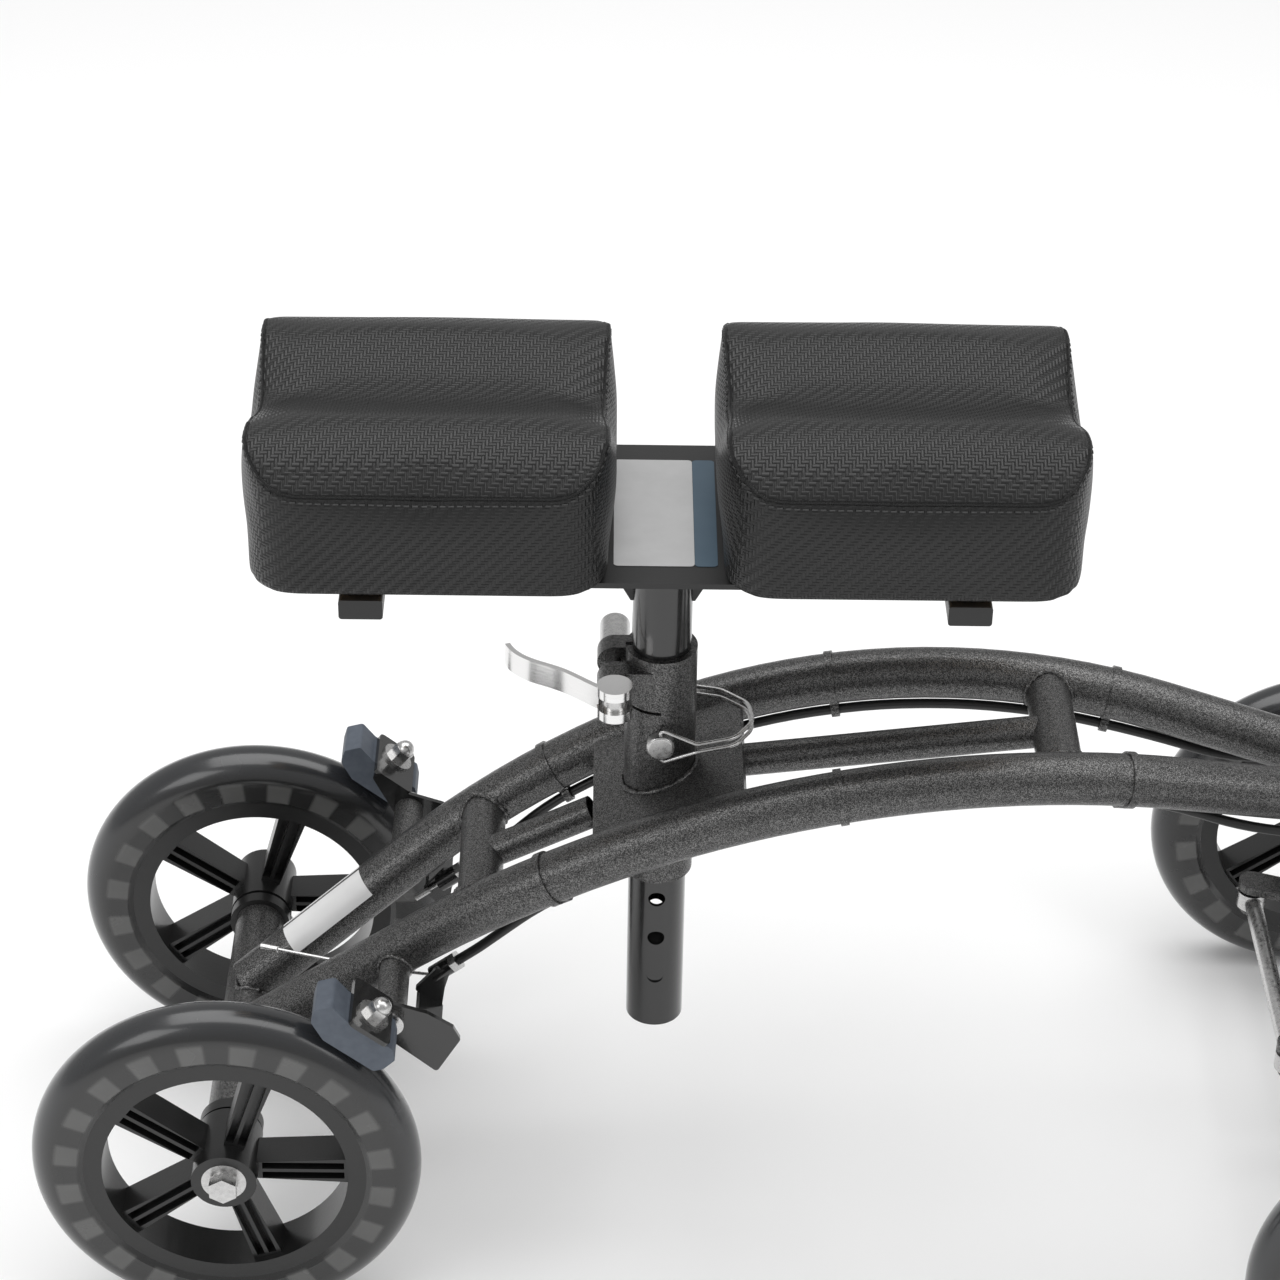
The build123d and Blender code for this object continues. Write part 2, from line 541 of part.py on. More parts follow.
# ================================================================ wheels
SPOKE_WIDTH = 15.0
SPOKE_DEPTH = 18.0
SPOKE_GROOVE_WIDTH = 4.0
SPOKE_GROOVE_DEPTH = 5.0
LUG_WIDTH = 14.0
LUG_DEPTH = 20.0
spoke_middle = (HUB_RADIUS + RIM_INNER_RADIUS) / 2
with BuildPart() as core_form:
    with BuildSketch(Plane.XZ.offset(-RIM_WIDTH / 2)):
        Circle(RIM_OUTER_RADIUS)
        Circle(RIM_INNER_RADIUS, mode=Mode.SUBTRACT)
    extrude(amount=RIM_WIDTH)
    with BuildSketch(Plane.XZ.offset(-LUG_DEPTH / 2)):
        with PolarLocations((RIM_OUTER_RADIUS + LUG_OUTER_RADIUS) / 2, LUG_COUNT):
            Rectangle(LUG_OUTER_RADIUS - RIM_OUTER_RADIUS + 2, LUG_WIDTH)
    extrude(amount=LUG_DEPTH)
    with BuildSketch(Plane.XZ.offset(-SPOKE_DEPTH / 2)):
        with PolarLocations(spoke_middle, SPOKE_COUNT):
            Trapezoid(SPOKE_WIDTH, RIM_INNER_RADIUS - HUB_RADIUS + 4, 87, rotation=90)
    extrude(amount=SPOKE_DEPTH)
    for face_y, inward in ((-SPOKE_DEPTH / 2, 1), (SPOKE_DEPTH / 2, -1)):
        with BuildSketch(Plane(origin=(0, face_y, 0), x_dir=(1, 0, 0), z_dir=(0, inward, 0))):
            with PolarLocations(spoke_middle, SPOKE_COUNT):
                with Locations((0, SPOKE_GROOVE_WIDTH * 0.75), (0, -SPOKE_GROOVE_WIDTH * 0.75)):
                    Rectangle(RIM_INNER_RADIUS - HUB_RADIUS - 4, SPOKE_GROOVE_WIDTH)
        extrude(amount=SPOKE_GROOVE_DEPTH, mode=Mode.SUBTRACT)
    Cylinder(HUB_RADIUS, HUB_LENGTH, rotation=(90, 0, 0))
    Cylinder(AXLE_BOLT_RADIUS + 4, HUB_LENGTH, rotation=(90, 0, 0), mode=Mode.SUBTRACT)
    with Locations((0, (HUB_LENGTH - BEARING_WIDTH) / 2, 0), (0, -(HUB_LENGTH - BEARING_WIDTH) / 2, 0)):
        Cylinder(BEARING_RADIUS, BEARING_WIDTH, rotation=(90, 0, 0), mode=Mode.SUBTRACT)

TYRE_SHOULDER = 81.0
with BuildPart() as tyre_form:
    with BuildSketch(Plane.XY):
        with BuildLine():
            Polyline(
                (TYRE_SHOULDER, -TYRE_WIDTH / 2),
                (RIM_OUTER_RADIUS + 3, -TYRE_WIDTH / 2),
                (RIM_OUTER_RADIUS, -RIM_WIDTH / 2),
                (RIM_OUTER_RADIUS, RIM_WIDTH / 2),
                (RIM_OUTER_RADIUS + 3, TYRE_WIDTH / 2),
                (TYRE_SHOULDER, TYRE_WIDTH / 2),
            )
            ThreePointArc(
                (TYRE_SHOULDER, TYRE_WIDTH / 2), (WHEEL_RADIUS, 0), (TYRE_SHOULDER, -TYRE_WIDTH / 2)
            )
        make_face()
    revolve(axis=Axis.Y)
    add(core_form.part, mode=Mode.SUBTRACT)

wheel_places = []
for side_name, side in sides():
    wheel_places.append((f"rear_{side_name}", REAR_X, side * REAR_HALF_TRACK))
    wheel_places.append((f"front_{side_name}", FRONT_X, side * FRONT_HALF_TRACK))
for wheel_name, x, y in wheel_places:
    with BuildPart() as wheel_core:
        with Locations((x, y, AXLE_Z)):
            add(core_form.part)
    save(wheel_core.part, f"{wheel_name}_wheel_core")
    with BuildPart() as wheel_tyre:
        with Locations((x, y, AXLE_Z)):
            add(tyre_form.part)
    save(wheel_tyre.part, f"{wheel_name}_tyre")

WASHER_RADIUS = 6.6
WASHER_THICKNESS = 1.6
HEX_HEIGHT = 5.3
HEX_RADIUS = 7.5
BEARING_BORE = AXLE_BOLT_RADIUS + RUNNING
BOLT_SHANK_RADIUS = AXLE_BOLT_RADIUS - RUNNING


def ring(x, y_low, y_high, outer, inner):
    """A washer or bearing on an axle along Y."""
    with BuildPart() as collar:
        with BuildSketch(Plane(origin=(x, y_low, AXLE_Z), z_dir=(0, 1, 0))):
            Circle(outer)
            Circle(inner, mode=Mode.SUBTRACT)
        extrude(amount=y_high - y_low)
    return collar.part


def hexagon(x, y_low, y_high):
    """A hexagon head or nut on an axle along Y."""
    with BuildPart() as nut:
        with BuildSketch(Plane(origin=(x, y_low, AXLE_Z), z_dir=(0, 1, 0))):
            RegularPolygon(HEX_RADIUS, 6)
        extrude(amount=y_high - y_low)
    return nut.part


def axle_set(x, half_track, inner_y, bolt_from, nut_inside):
    """The bolt, washers, spacer and two bearings of the left wheel of a pair."""
    hub_in = half_track - HUB_LENGTH / 2
    hub_out = half_track + HUB_LENGTH / 2
    head_in = hub_out + WASHER_THICKNESS
    outer = BEARING_RADIUS - RUNNING
    with BuildPart() as bolt:
        add(rod((x, bolt_from, AXLE_Z), (x, head_in, AXLE_Z), BOLT_SHANK_RADIUS))
        add(hexagon(x, head_in, head_in + HEX_HEIGHT))
        if nut_inside:
            add(hexagon(x, bolt_from, bolt_from + HEX_HEIGHT))
    return [
        bolt.part,
        ring(x, inner_y, hub_in, WASHER_RADIUS, BEARING_BORE),
        ring(x, hub_in, hub_in + BEARING_WIDTH, outer, BEARING_BORE),
        ring(x, hub_out - BEARING_WIDTH, hub_out, outer, BEARING_BORE),
        ring(x, hub_out, head_in, WASHER_RADIUS, BEARING_BORE),
    ]


def group(pieces):
    """Separate solids that share one node."""
    return Compound(children=[solid for piece in pieces for solid in piece.solids()])


def mirrored(pieces):
    """The same pieces on the other side of the scooter."""
    return [mirror(piece, about=Plane.XZ) for piece in pieces]


REAR_BOLT_ROOT = 62.0
rear_set = axle_set(REAR_X, REAR_HALF_TRACK, AXLE_TUBE_HALF, REAR_BOLT_ROOT, False)
save(group(rear_set + mirrored(rear_set)), "rear_axle_set")

# ================================================================ rear brakes
BOSS_ROOT_Y = 36.0
BOSS_END_Y = BRAKE_PLATE_Y - BRAKE_PLATE_THICKNESS / 2 - RUNNING
BRAKE_BOLT_DEPTH = 20.0
with BuildPart() as brake_bosses:
    with BuildSketch(Plane(origin=(BRAKE_PIVOT_X, BOSS_ROOT_Y, BRAKE_PIVOT_Z), z_dir=(0, 1, 0))):
        Circle(BRAKE_BOSS_RADIUS)
    extrude(amount=BOSS_END_Y - BOSS_ROOT_Y)
    with BuildSketch(Plane(origin=(BRAKE_PIVOT_X, BOSS_END_Y, BRAKE_PIVOT_Z), z_dir=(0, -1, 0))):
        Circle(BRAKE_BOLT_RADIUS + RUNNING)
    extrude(amount=BRAKE_BOLT_DEPTH, mode=Mode.SUBTRACT)
    mirror(about=Plane.XZ)
    add(rail_envelopes.part, mode=Mode.SUBTRACT)
save(group([solid for solid in brake_bosses.solids() if solid.volume > 1000]), "brake_bosses")

shoe_out = Vector(cos(radians(SHOE_ANGLE)), 0, sin(radians(SHOE_ANGLE)))
shoe_along = Vector(-shoe_out.Z, 0, shoe_out.X)
rear_axle_middle = Vector(REAR_X, 0, AXLE_Z)


def shoe_plane(radius, y):
    """A plane square to the wheel's radius through the shoe, at a distance from the axle."""
    spot = rear_axle_middle + shoe_out * radius + Vector(0, y, 0)
    return Plane(origin=spot, x_dir=shoe_along, z_dir=shoe_out)


SHOE_FACE_RADIUS = WHEEL_RADIUS + SHOE_GAP
SHOE_BACK_RADIUS = SHOE_FACE_RADIUS + SHOE_THICKNESS
SHOE_WIDTH = 22.0
TAB_LENGTH = 23.0
TAB_OUTER_Y = REAR_HALF_TRACK + 13.0
STUD_RADIUS = 3.0
STUD_TOP_RADIUS = SHOE_BACK_RADIUS + 12.0
FLANGE_INNER_Y = 40.0
ADJUSTER_RADIUS = 4.5
ADJUSTER_LENGTH = 12.0
plate_inner_y = BRAKE_PLATE_Y - BRAKE_PLATE_THICKNESS / 2
tab_middle = rear_axle_middle + shoe_out * (SHOE_BACK_RADIUS + BRAKE_PLATE_THICKNESS / 2)
tab_rear = tab_middle + shoe_along * (TAB_LENGTH / 2) - Vector(BRAKE_PIVOT_X, 0, BRAKE_PIVOT_Z)
tab_front = tab_middle - shoe_along * (TAB_LENGTH / 2) - Vector(BRAKE_PIVOT_X, 0, BRAKE_PIVOT_Z)
# Outlines of the arm's outer and inner plates, from the pivot.
outer_outline = [
    (tab_rear.X, tab_rear.Z),
    (tab_front.X, tab_front.Z),
    (17.7, 3.8),
    (30.2, -4.8),
    (33.7, -12.3),
    (21.8, -32.8),
    (-4.0, -9.8),
    (tab_rear.X - 1.4, tab_rear.Z - 4.0),
]
inner_outline = [(9.0, -18.0), (21.8, -32.8), (24.0, -17.0), (27.0, -6.0), (20.0, -5.0), (14.0, -12.0)]
adjuster_at = (BRAKE_PIVOT_X + 23.0, FLANGE_INNER_Y - 3.0, BRAKE_PIVOT_Z - 8.5)
adjuster_axis = Vector(0.79, 0, 0.61)
adjuster_front = Vector(*adjuster_at) + adjuster_axis * (ADJUSTER_LENGTH / 2)
adjuster_rear = Vector(*adjuster_at) - adjuster_axis * (ADJUSTER_LENGTH / 2)
WIRE_RADIUS = 0.8
with BuildPart() as brake_arm:
    for outline, plate_y in ((outer_outline, BRAKE_PLATE_Y), (inner_outline, FLANGE_INNER_Y)):
        plate_at = (BRAKE_PIVOT_X, plate_y, BRAKE_PIVOT_Z)
        with BuildSketch(Plane(origin=plate_at, x_dir=(1, 0, 0), z_dir=(0, -1, 0))):
            with BuildLine():
                Polyline(outline, close=True)
            make_face()
            fillet(vertices(), 1.6)
        extrude(amount=BRAKE_PLATE_THICKNESS / 2, both=True)
    with BuildSketch(shoe_plane(SHOE_BACK_RADIUS, (plate_inner_y + TAB_OUTER_Y) / 2)):
        RectangleRounded(TAB_LENGTH, TAB_OUTER_Y - plate_inner_y, 3)
    extrude(amount=BRAKE_PLATE_THICKNESS)
    with BuildSketch(shoe_plane(SHOE_BACK_RADIUS, REAR_HALF_TRACK)):
        Circle(STUD_RADIUS + RUNNING)
    extrude(amount=BRAKE_PLATE_THICKNESS, mode=Mode.SUBTRACT)
    flange_start = Vector(BRAKE_PIVOT_X + 10.0, 0, BRAKE_PIVOT_Z - 21.0)
    flange_end = Vector(BRAKE_PIVOT_X + 21.2, 0, BRAKE_PIVOT_Z - 31.0)
    flange_run = flange_end - flange_start
    flange_middle_y = (FLANGE_INNER_Y + BRAKE_PLATE_Y) / 2
    flange_spot = (flange_start + flange_end) / 2 + Vector(0, flange_middle_y, 0)
    with BuildSketch(Plane(origin=flange_spot, x_dir=flange_run, z_dir=(-flange_run.Z, 0, flange_run.X))):
        Rectangle(flange_run.length, BRAKE_PLATE_Y - FLANGE_INNER_Y)
    extrude(amount=BRAKE_PLATE_THICKNESS)
    with BuildSketch(Plane(origin=adjuster_at, z_dir=adjuster_axis)):
        Circle(ADJUSTER_RADIUS)
    extrude(amount=ADJUSTER_LENGTH / 2, both=True)
    with BuildSketch(Plane(origin=adjuster_at, z_dir=adjuster_axis)):
        Circle(WIRE_RADIUS + SOFT_GAP)
    extrude(amount=2 * ADJUSTER_LENGTH, both=True, mode=Mode.SUBTRACT)
    with BuildSketch(Plane(origin=adjuster_front, z_dir=adjuster_axis)):
        Circle(1.3 * ADJUSTER_RADIUS)
    extrude(amount=ADJUSTER_LENGTH, mode=Mode.SUBTRACT)
    with Locations((BRAKE_PIVOT_X, BRAKE_PLATE_Y, BRAKE_PIVOT_Z)):
        Cylinder(BRAKE_BOLT_RADIUS + RUNNING, 12, rotation=(90, 0, 0), mode=Mode.SUBTRACT)

# The shoe's side view: along the wheel first, then away from its face.
shoe_outline = [
    (-19.0, 4.0),
    (-16.0, 0.0),
    (14.0, 0.0),
    (25.0, 5.0),
    (28.0, 12.0),
    (23.0, 19.0),
    (13.0, SHOE_THICKNESS),
    (-15.0, SHOE_THICKNESS),
    (-20.0, 12.0),
]
shoe_side = shoe_plane(SHOE_FACE_RADIUS, REAR_HALF_TRACK)
with BuildPart() as brake_shoe:
    with BuildSketch(Plane(origin=shoe_side.origin, x_dir=shoe_along, z_dir=shoe_along.cross(shoe_out))):
        with BuildLine():
            Polyline(shoe_outline, close=True)
        make_face()
        fillet(vertices(), 2)
    extrude(amount=SHOE_WIDTH / 2, both=True)
    with BuildSketch(shoe_plane(SHOE_BACK_RADIUS, REAR_HALF_TRACK)):
        Circle(STUD_RADIUS + RUNNING)
    extrude(amount=-SHOE_THICKNESS * 2 / 3, mode=Mode.SUBTRACT)

# The shoe's stud and acorn nut, and the hexagon and inner wire at the cable adjuster.
ACORN_FLATS = 10.0
ACORN_HEIGHT = 6.0
ACORN_WASHER_RADIUS = 8.5
tab_top_radius = SHOE_BACK_RADIUS + BRAKE_PLATE_THICKNESS
with BuildPart() as shoe_stud:
    with BuildSketch(shoe_plane(SHOE_BACK_RADIUS - SHOE_THICKNESS / 2, REAR_HALF_TRACK)):
        Circle(STUD_RADIUS)
    extrude(amount=STUD_TOP_RADIUS - SHOE_BACK_RADIUS + SHOE_THICKNESS / 2)
    with BuildSketch(shoe_plane(tab_top_radius, REAR_HALF_TRACK)):
        Circle(ACORN_WASHER_RADIUS)
    extrude(amount=WASHER_THICKNESS)
    with BuildSketch(shoe_plane(tab_top_radius + WASHER_THICKNESS, REAR_HALF_TRACK)):
        RegularPolygon(ACORN_FLATS / 2, 6, major_radius=False)
    extrude(amount=ACORN_HEIGHT)
    with Locations(shoe_plane(tab_top_radius + WASHER_THICKNESS + ACORN_HEIGHT, REAR_HALF_TRACK)):
        Sphere(ACORN_FLATS / 2 - 0.3)

CRIMP_RADIUS = 1.6
CRIMP_LENGTH = 9.0
tail_points = {
    "left": [adjuster_front, adjuster_rear, adjuster_rear - adjuster_axis * 16.0],
    "right": [
        adjuster_front,
        adjuster_rear,
        Vector(REAR_X + 72.0, 22.0, AXLE_Z + 51.8),
        Vector(REAR_X + 10.0, 2.0, AXLE_Z + 49.8),
    ],
}
for side_name, side in sides():
    tail = tail_points[side_name]
    with BuildPart() as inner_wire:
        for start, end in zip(tail[:-1], tail[1:]):
            add(rod(start, end, WIRE_RADIUS))
        with Locations(tail[1:-1]):
            Sphere(WIRE_RADIUS)
        with BuildSketch(Plane(origin=tail[-1], z_dir=tail[-2] - tail[-1])):
            Circle(CRIMP_RADIUS)
        extrude(amount=CRIMP_LENGTH)
        with BuildSketch(Plane(origin=adjuster_front, z_dir=adjuster_axis)):
            RegularPolygon(ADJUSTER_RADIUS, 6, major_radius=False)
        extrude(amount=4.0)
    pieces = [shoe_stud.part, inner_wire.part]
    save(group(pieces if side > 0 else mirrored(pieces)), f"{side_name}_brake_hardware")

with BuildPart() as pivot_bolt:
    add(
        rod(
            (BRAKE_PIVOT_X, BOSS_END_Y - BRAKE_BOLT_DEPTH + 1, BRAKE_PIVOT_Z),
            (BRAKE_PIVOT_X, BRAKE_PLATE_Y + BRAKE_PLATE_THICKNESS / 2 + 1, BRAKE_PIVOT_Z),
            BRAKE_BOLT_RADIUS,
        )
    )
    with Locations((BRAKE_PIVOT_X, BRAKE_PLATE_Y + BRAKE_PLATE_THICKNESS / 2 + RUNNING + 2.2, BRAKE_PIVOT_Z)):
        Cylinder(WASHER_RADIUS, 4.4, rotation=(90, 0, 0))
save(group([pivot_bolt.part] + mirrored([pivot_bolt.part])), "brake_pivot_bolts")
save(brake_arm.part, "left_brake_arm")
save(mirror(brake_arm.part, about=Plane.XZ), "right_brake_arm")
save(brake_shoe.part, "left_brake_shoe")
save(mirror(brake_shoe.part, about=Plane.XZ), "right_brake_shoe")

# ================================================================ head tube, front axle and knuckles
HEAD_TUBE_BORE = HEAD_TUBE_RADIUS - HEAD_TUBE_WALL
with BuildPart() as head_tube:
    with BuildSketch(Plane.XY.offset(HEAD_TUBE_BOTTOM)):
        with Locations((FRONT_X, 0)):
            Circle(HEAD_TUBE_RADIUS)
            Circle(HEAD_TUBE_BORE, mode=Mode.SUBTRACT)
    extrude(amount=HEAD_TUBE_TOP - HEAD_TUBE_BOTTOM)
save(head_tube.part, "head_tube")

BUSH_DEPTH = 14.0
BUSH_FLANGE = 3.0
with BuildPart() as head_bushes:
    for flange_z, body_z in (
        (HEAD_TUBE_BOTTOM - BUSH_FLANGE, HEAD_TUBE_BOTTOM),
        (HEAD_TUBE_TOP, HEAD_TUBE_TOP - BUSH_DEPTH),
    ):
        with BuildSketch(Plane.XY.offset(flange_z)):
            with Locations((FRONT_X, 0)):
                Circle(HEAD_TUBE_RADIUS)
                Circle(COLUMN_RADIUS + RUNNING, mode=Mode.SUBTRACT)
        extrude(amount=BUSH_FLANGE)
        with BuildSketch(Plane.XY.offset(body_z)):
            with Locations((FRONT_X, 0)):
                Circle(HEAD_TUBE_BORE - RUNNING)
                Circle(COLUMN_RADIUS + RUNNING, mode=Mode.SUBTRACT)
        extrude(amount=BUSH_DEPTH)
save(head_bushes.part, "head_bushes")

with BuildPart() as front_axle_tubes:
    for _, side in sides():
        add(rod((FRONT_X, 0, AXLE_Z), (FRONT_X, side * KINGPIN_HALF_TRACK, AXLE_Z), AXLE_TUBE_RADIUS))
        add(
            rod(
                (FRONT_X, 0, AXLE_Z),
                (FRONT_X, side * KINGPIN_HALF_TRACK, AXLE_Z),
                AXLE_TUBE_RADIUS - AXLE_TUBE_WALL,
            ),
            mode=Mode.SUBTRACT,
        )
    for _, side in sides():
        with Locations((FRONT_X, side * KINGPIN_HALF_TRACK, AXLE_Z)):
            Cylinder(KINGPIN_TUBE_RADIUS, 2 * KINGPIN_TUBE_HALF)
            Cylinder(KINGPIN_RADIUS + RUNNING, 2 * KINGPIN_TUBE_HALF, mode=Mode.SUBTRACT)
    with Locations((FRONT_X, 0, AXLE_Z)):
        Cylinder(HEAD_TUBE_RADIUS, 4 * AXLE_TUBE_RADIUS, mode=Mode.SUBTRACT)
save(front_axle_tubes.part, "front_axle_tubes")

KNUCKLE_HALF_WIDTH = 12.0
KNUCKLE_THICKNESS = 5.0
KNUCKLE_WEB_Y = FRONT_HALF_TRACK - HUB_LENGTH / 2 - 2.5
flange_top_z = AXLE_Z + KINGPIN_TUBE_HALF + THRUST_GAP
flange_bottom_z = AXLE_Z - KINGPIN_TUBE_HALF - THRUST_GAP - KNUCKLE_THICKNESS
ARM_PIN_RADIUS = 3.0
ARM_EYE_RADIUS = 8.0
ROD_EYE_HALF = 5.0
ARM_PIN_HEAD_RADIUS = 5.5
ARM_PIN_HEAD_HEIGHT = 3.5
rod_z = flange_bottom_z - 1.75 - ROD_EYE_HALF
arm_pin_low = rod_z - ROD_EYE_HALF - 0.5 - ARM_PIN_HEAD_HEIGHT


def arm_to_pin(from_xy, to_xy):
    """A flat steering arm at the flange's level, with a headed pin hanging from its end."""
    run = Vector(to_xy[0] - from_xy[0], to_xy[1] - from_xy[1])
    middle = ((from_xy[0] + to_xy[0]) / 2, (from_xy[1] + to_xy[1]) / 2, flange_bottom_z)
    with BuildPart() as arm:
        with BuildSketch(Plane(origin=middle, x_dir=run, z_dir=(0, 0, 1))):
            SlotOverall(run.length + 2 * ARM_EYE_RADIUS, 2 * ARM_EYE_RADIUS)
        extrude(amount=ARM_THICKNESS)
        with BuildSketch(Plane.XY.offset(arm_pin_low)):
            with Locations(to_xy):
                Circle(ARM_PIN_RADIUS)
        extrude(amount=flange_bottom_z - arm_pin_low)
        with BuildSketch(Plane.XY.offset(arm_pin_low)):
            with Locations(to_xy):
                Circle(ARM_PIN_HEAD_RADIUS)
        extrude(amount=ARM_PIN_HEAD_HEIGHT)
    return arm.part


with BuildPart() as knuckle:
    with Locations((FRONT_X, KNUCKLE_WEB_Y - KNUCKLE_THICKNESS / 2, (flange_bottom_z + flange_top_z + 5) / 2)):
        Box(2 * KNUCKLE_HALF_WIDTH, KNUCKLE_THICKNESS, flange_top_z + KNUCKLE_THICKNESS - flange_bottom_z)
    for flange_z in (flange_bottom_z, flange_top_z):
        with BuildSketch(Plane.XY.offset(flange_z)):
            with Locations((FRONT_X, KINGPIN_HALF_TRACK)):
                Circle(KNUCKLE_HALF_WIDTH)
            with Locations((FRONT_X, (KINGPIN_HALF_TRACK + KNUCKLE_WEB_Y) / 2)):
                Rectangle(2 * KNUCKLE_HALF_WIDTH, KNUCKLE_WEB_Y - KINGPIN_HALF_TRACK)
        extrude(amount=KNUCKLE_THICKNESS)
    add(arm_to_pin((FRONT_X, KINGPIN_HALF_TRACK), (FRONT_X - ARM_SETBACK, KINGPIN_HALF_TRACK + ARM_SPREAD)))
    with Locations((FRONT_X, KINGPIN_HALF_TRACK, AXLE_Z)):
        Cylinder(KINGPIN_RADIUS + RUNNING, 4 * KINGPIN_TUBE_HALF, mode=Mode.SUBTRACT)
    with Locations((FRONT_X, KNUCKLE_WEB_Y, AXLE_Z)):
        Cylinder(AXLE_BOLT_RADIUS, 4 * KNUCKLE_THICKNESS, rotation=(90, 0, 0), mode=Mode.SUBTRACT)
save(knuckle.part, "left_knuckle")
save(mirror(knuckle.part, about=Plane.XZ), "right_knuckle")

KINGPIN_HEAD = 6.0
with BuildPart() as kingpin_bolt:
    with BuildSketch(Plane.XY.offset(flange_bottom_z - KINGPIN_HEAD)):
        with Locations((FRONT_X, KINGPIN_HALF_TRACK)):
            RegularPolygon(HEX_RADIUS, 6)
    extrude(amount=KINGPIN_HEAD)
    with BuildSketch(Plane.XY.offset(flange_top_z + KNUCKLE_THICKNESS)):
        with Locations((FRONT_X, KINGPIN_HALF_TRACK)):
            RegularPolygon(HEX_RADIUS, 6)
    extrude(amount=KINGPIN_HEAD)
    with BuildSketch(Plane.XY.offset(flange_bottom_z)):
        with Locations((FRONT_X, KINGPIN_HALF_TRACK)):
            Circle(KINGPIN_RADIUS)
    extrude(amount=flange_top_z + KNUCKLE_THICKNESS - flange_bottom_z)
front_bolt_from = KNUCKLE_WEB_Y - KNUCKLE_THICKNESS - HEX_HEIGHT
front_set = axle_set(FRONT_X, FRONT_HALF_TRACK, KNUCKLE_WEB_Y, front_bolt_from, True)
front_set.append(kingpin_bolt.part)
save(group(front_set), "front_left_axle_set")
save(group(mirrored(front_set)), "front_right_axle_set")

# ================================================================ steering column and tie rods
COLUMN_WALL = 2.0
COLUMN_COLLAR_RADIUS = 17.0
COLUMN_COLLAR_BOTTOM = HEAD_TUBE_TOP + BUSH_FLANGE + THRUST_GAP
COLUMN_COLLAR_HEIGHT = 7.5
FORK_BASE_BOTTOM = 316.0
FORK_BASE_HEIGHT = 10.0
CHEEK_HALF_WIDTH = 16.0
FOLD_BOLT_RADIUS = 4.95
cheek_outer_y = CHEEK_INNER_Y + CHEEK_THICKNESS
pin_middles = [(FRONT_X - ARM_SETBACK, side * ARM_SPREAD) for _, side in sides()]
with BuildPart() as steering_column:
    with BuildSketch(Plane.XY.offset(flange_bottom_z)):
        with Locations((FRONT_X, 0)):
            Circle(COLUMN_RADIUS)
    extrude(amount=FORK_BASE_BOTTOM - flange_bottom_z)
    for pin_xy in pin_middles:
        add(arm_to_pin((FRONT_X, 0), pin_xy))
    with BuildSketch(Plane.XY.offset(flange_bottom_z)):
        with Locations((FRONT_X, 0)):
            Circle(COLUMN_RADIUS - COLUMN_WALL)
    extrude(amount=FORK_BASE_BOTTOM - flange_bottom_z, mode=Mode.SUBTRACT)
    with BuildSketch(Plane.XY.offset(COLUMN_COLLAR_BOTTOM)):
        with Locations((FRONT_X, 0)):
            Circle(COLUMN_COLLAR_RADIUS)
            Circle(COLUMN_RADIUS, mode=Mode.SUBTRACT)
    extrude(amount=COLUMN_COLLAR_HEIGHT)
    with Locations((FRONT_X, 0, FORK_BASE_BOTTOM + FORK_BASE_HEIGHT / 2)):
        Box(2 * CHEEK_HALF_WIDTH, 2 * cheek_outer_y, FORK_BASE_HEIGHT)
    for _, side in sides():
        with Locations((FRONT_X, side * (CHEEK_INNER_Y + CHEEK_THICKNESS / 2), (FORK_BASE_BOTTOM + FOLD_Z) / 2)):
            Box(2 * CHEEK_HALF_WIDTH, CHEEK_THICKNESS, FOLD_Z - FORK_BASE_BOTTOM)
        with Locations((FRONT_X, side * (CHEEK_INNER_Y + CHEEK_THICKNESS / 2), FOLD_Z)):
            Cylinder(CHEEK_HALF_WIDTH, CHEEK_THICKNESS, rotation=(90, 0, 0))
    with Locations((FRONT_X, 0, FOLD_Z)):
        Cylinder(FOLD_BOLT_RADIUS + RUNNING, 4 * cheek_outer_y, rotation=(90, 0, 0), mode=Mode.SUBTRACT)
save(steering_column.part, "steering_column")

TIE_ROD_RADIUS = 4.8
for side_name, side in sides():
    inner_y = side * ARM_SPREAD
    outer_y = side * (KINGPIN_HALF_TRACK + ARM_SPREAD)
    rod_x = FRONT_X - ARM_SETBACK
    with BuildPart() as tie_rod:
        add(rod((rod_x, inner_y, rod_z), (rod_x, outer_y, rod_z), TIE_ROD_RADIUS))
        for y in (inner_y, outer_y):
            with Locations((rod_x, y, rod_z)):
                Cylinder(ARM_EYE_RADIUS, 2 * ROD_EYE_HALF)
        for y in (inner_y, outer_y):
            with Locations((rod_x, y, rod_z)):
                Cylinder(ARM_PIN_RADIUS + RUNNING, 4 * ROD_EYE_HALF, mode=Mode.SUBTRACT)
    save(tie_rod.part, f"{side_name}_tie_rod")

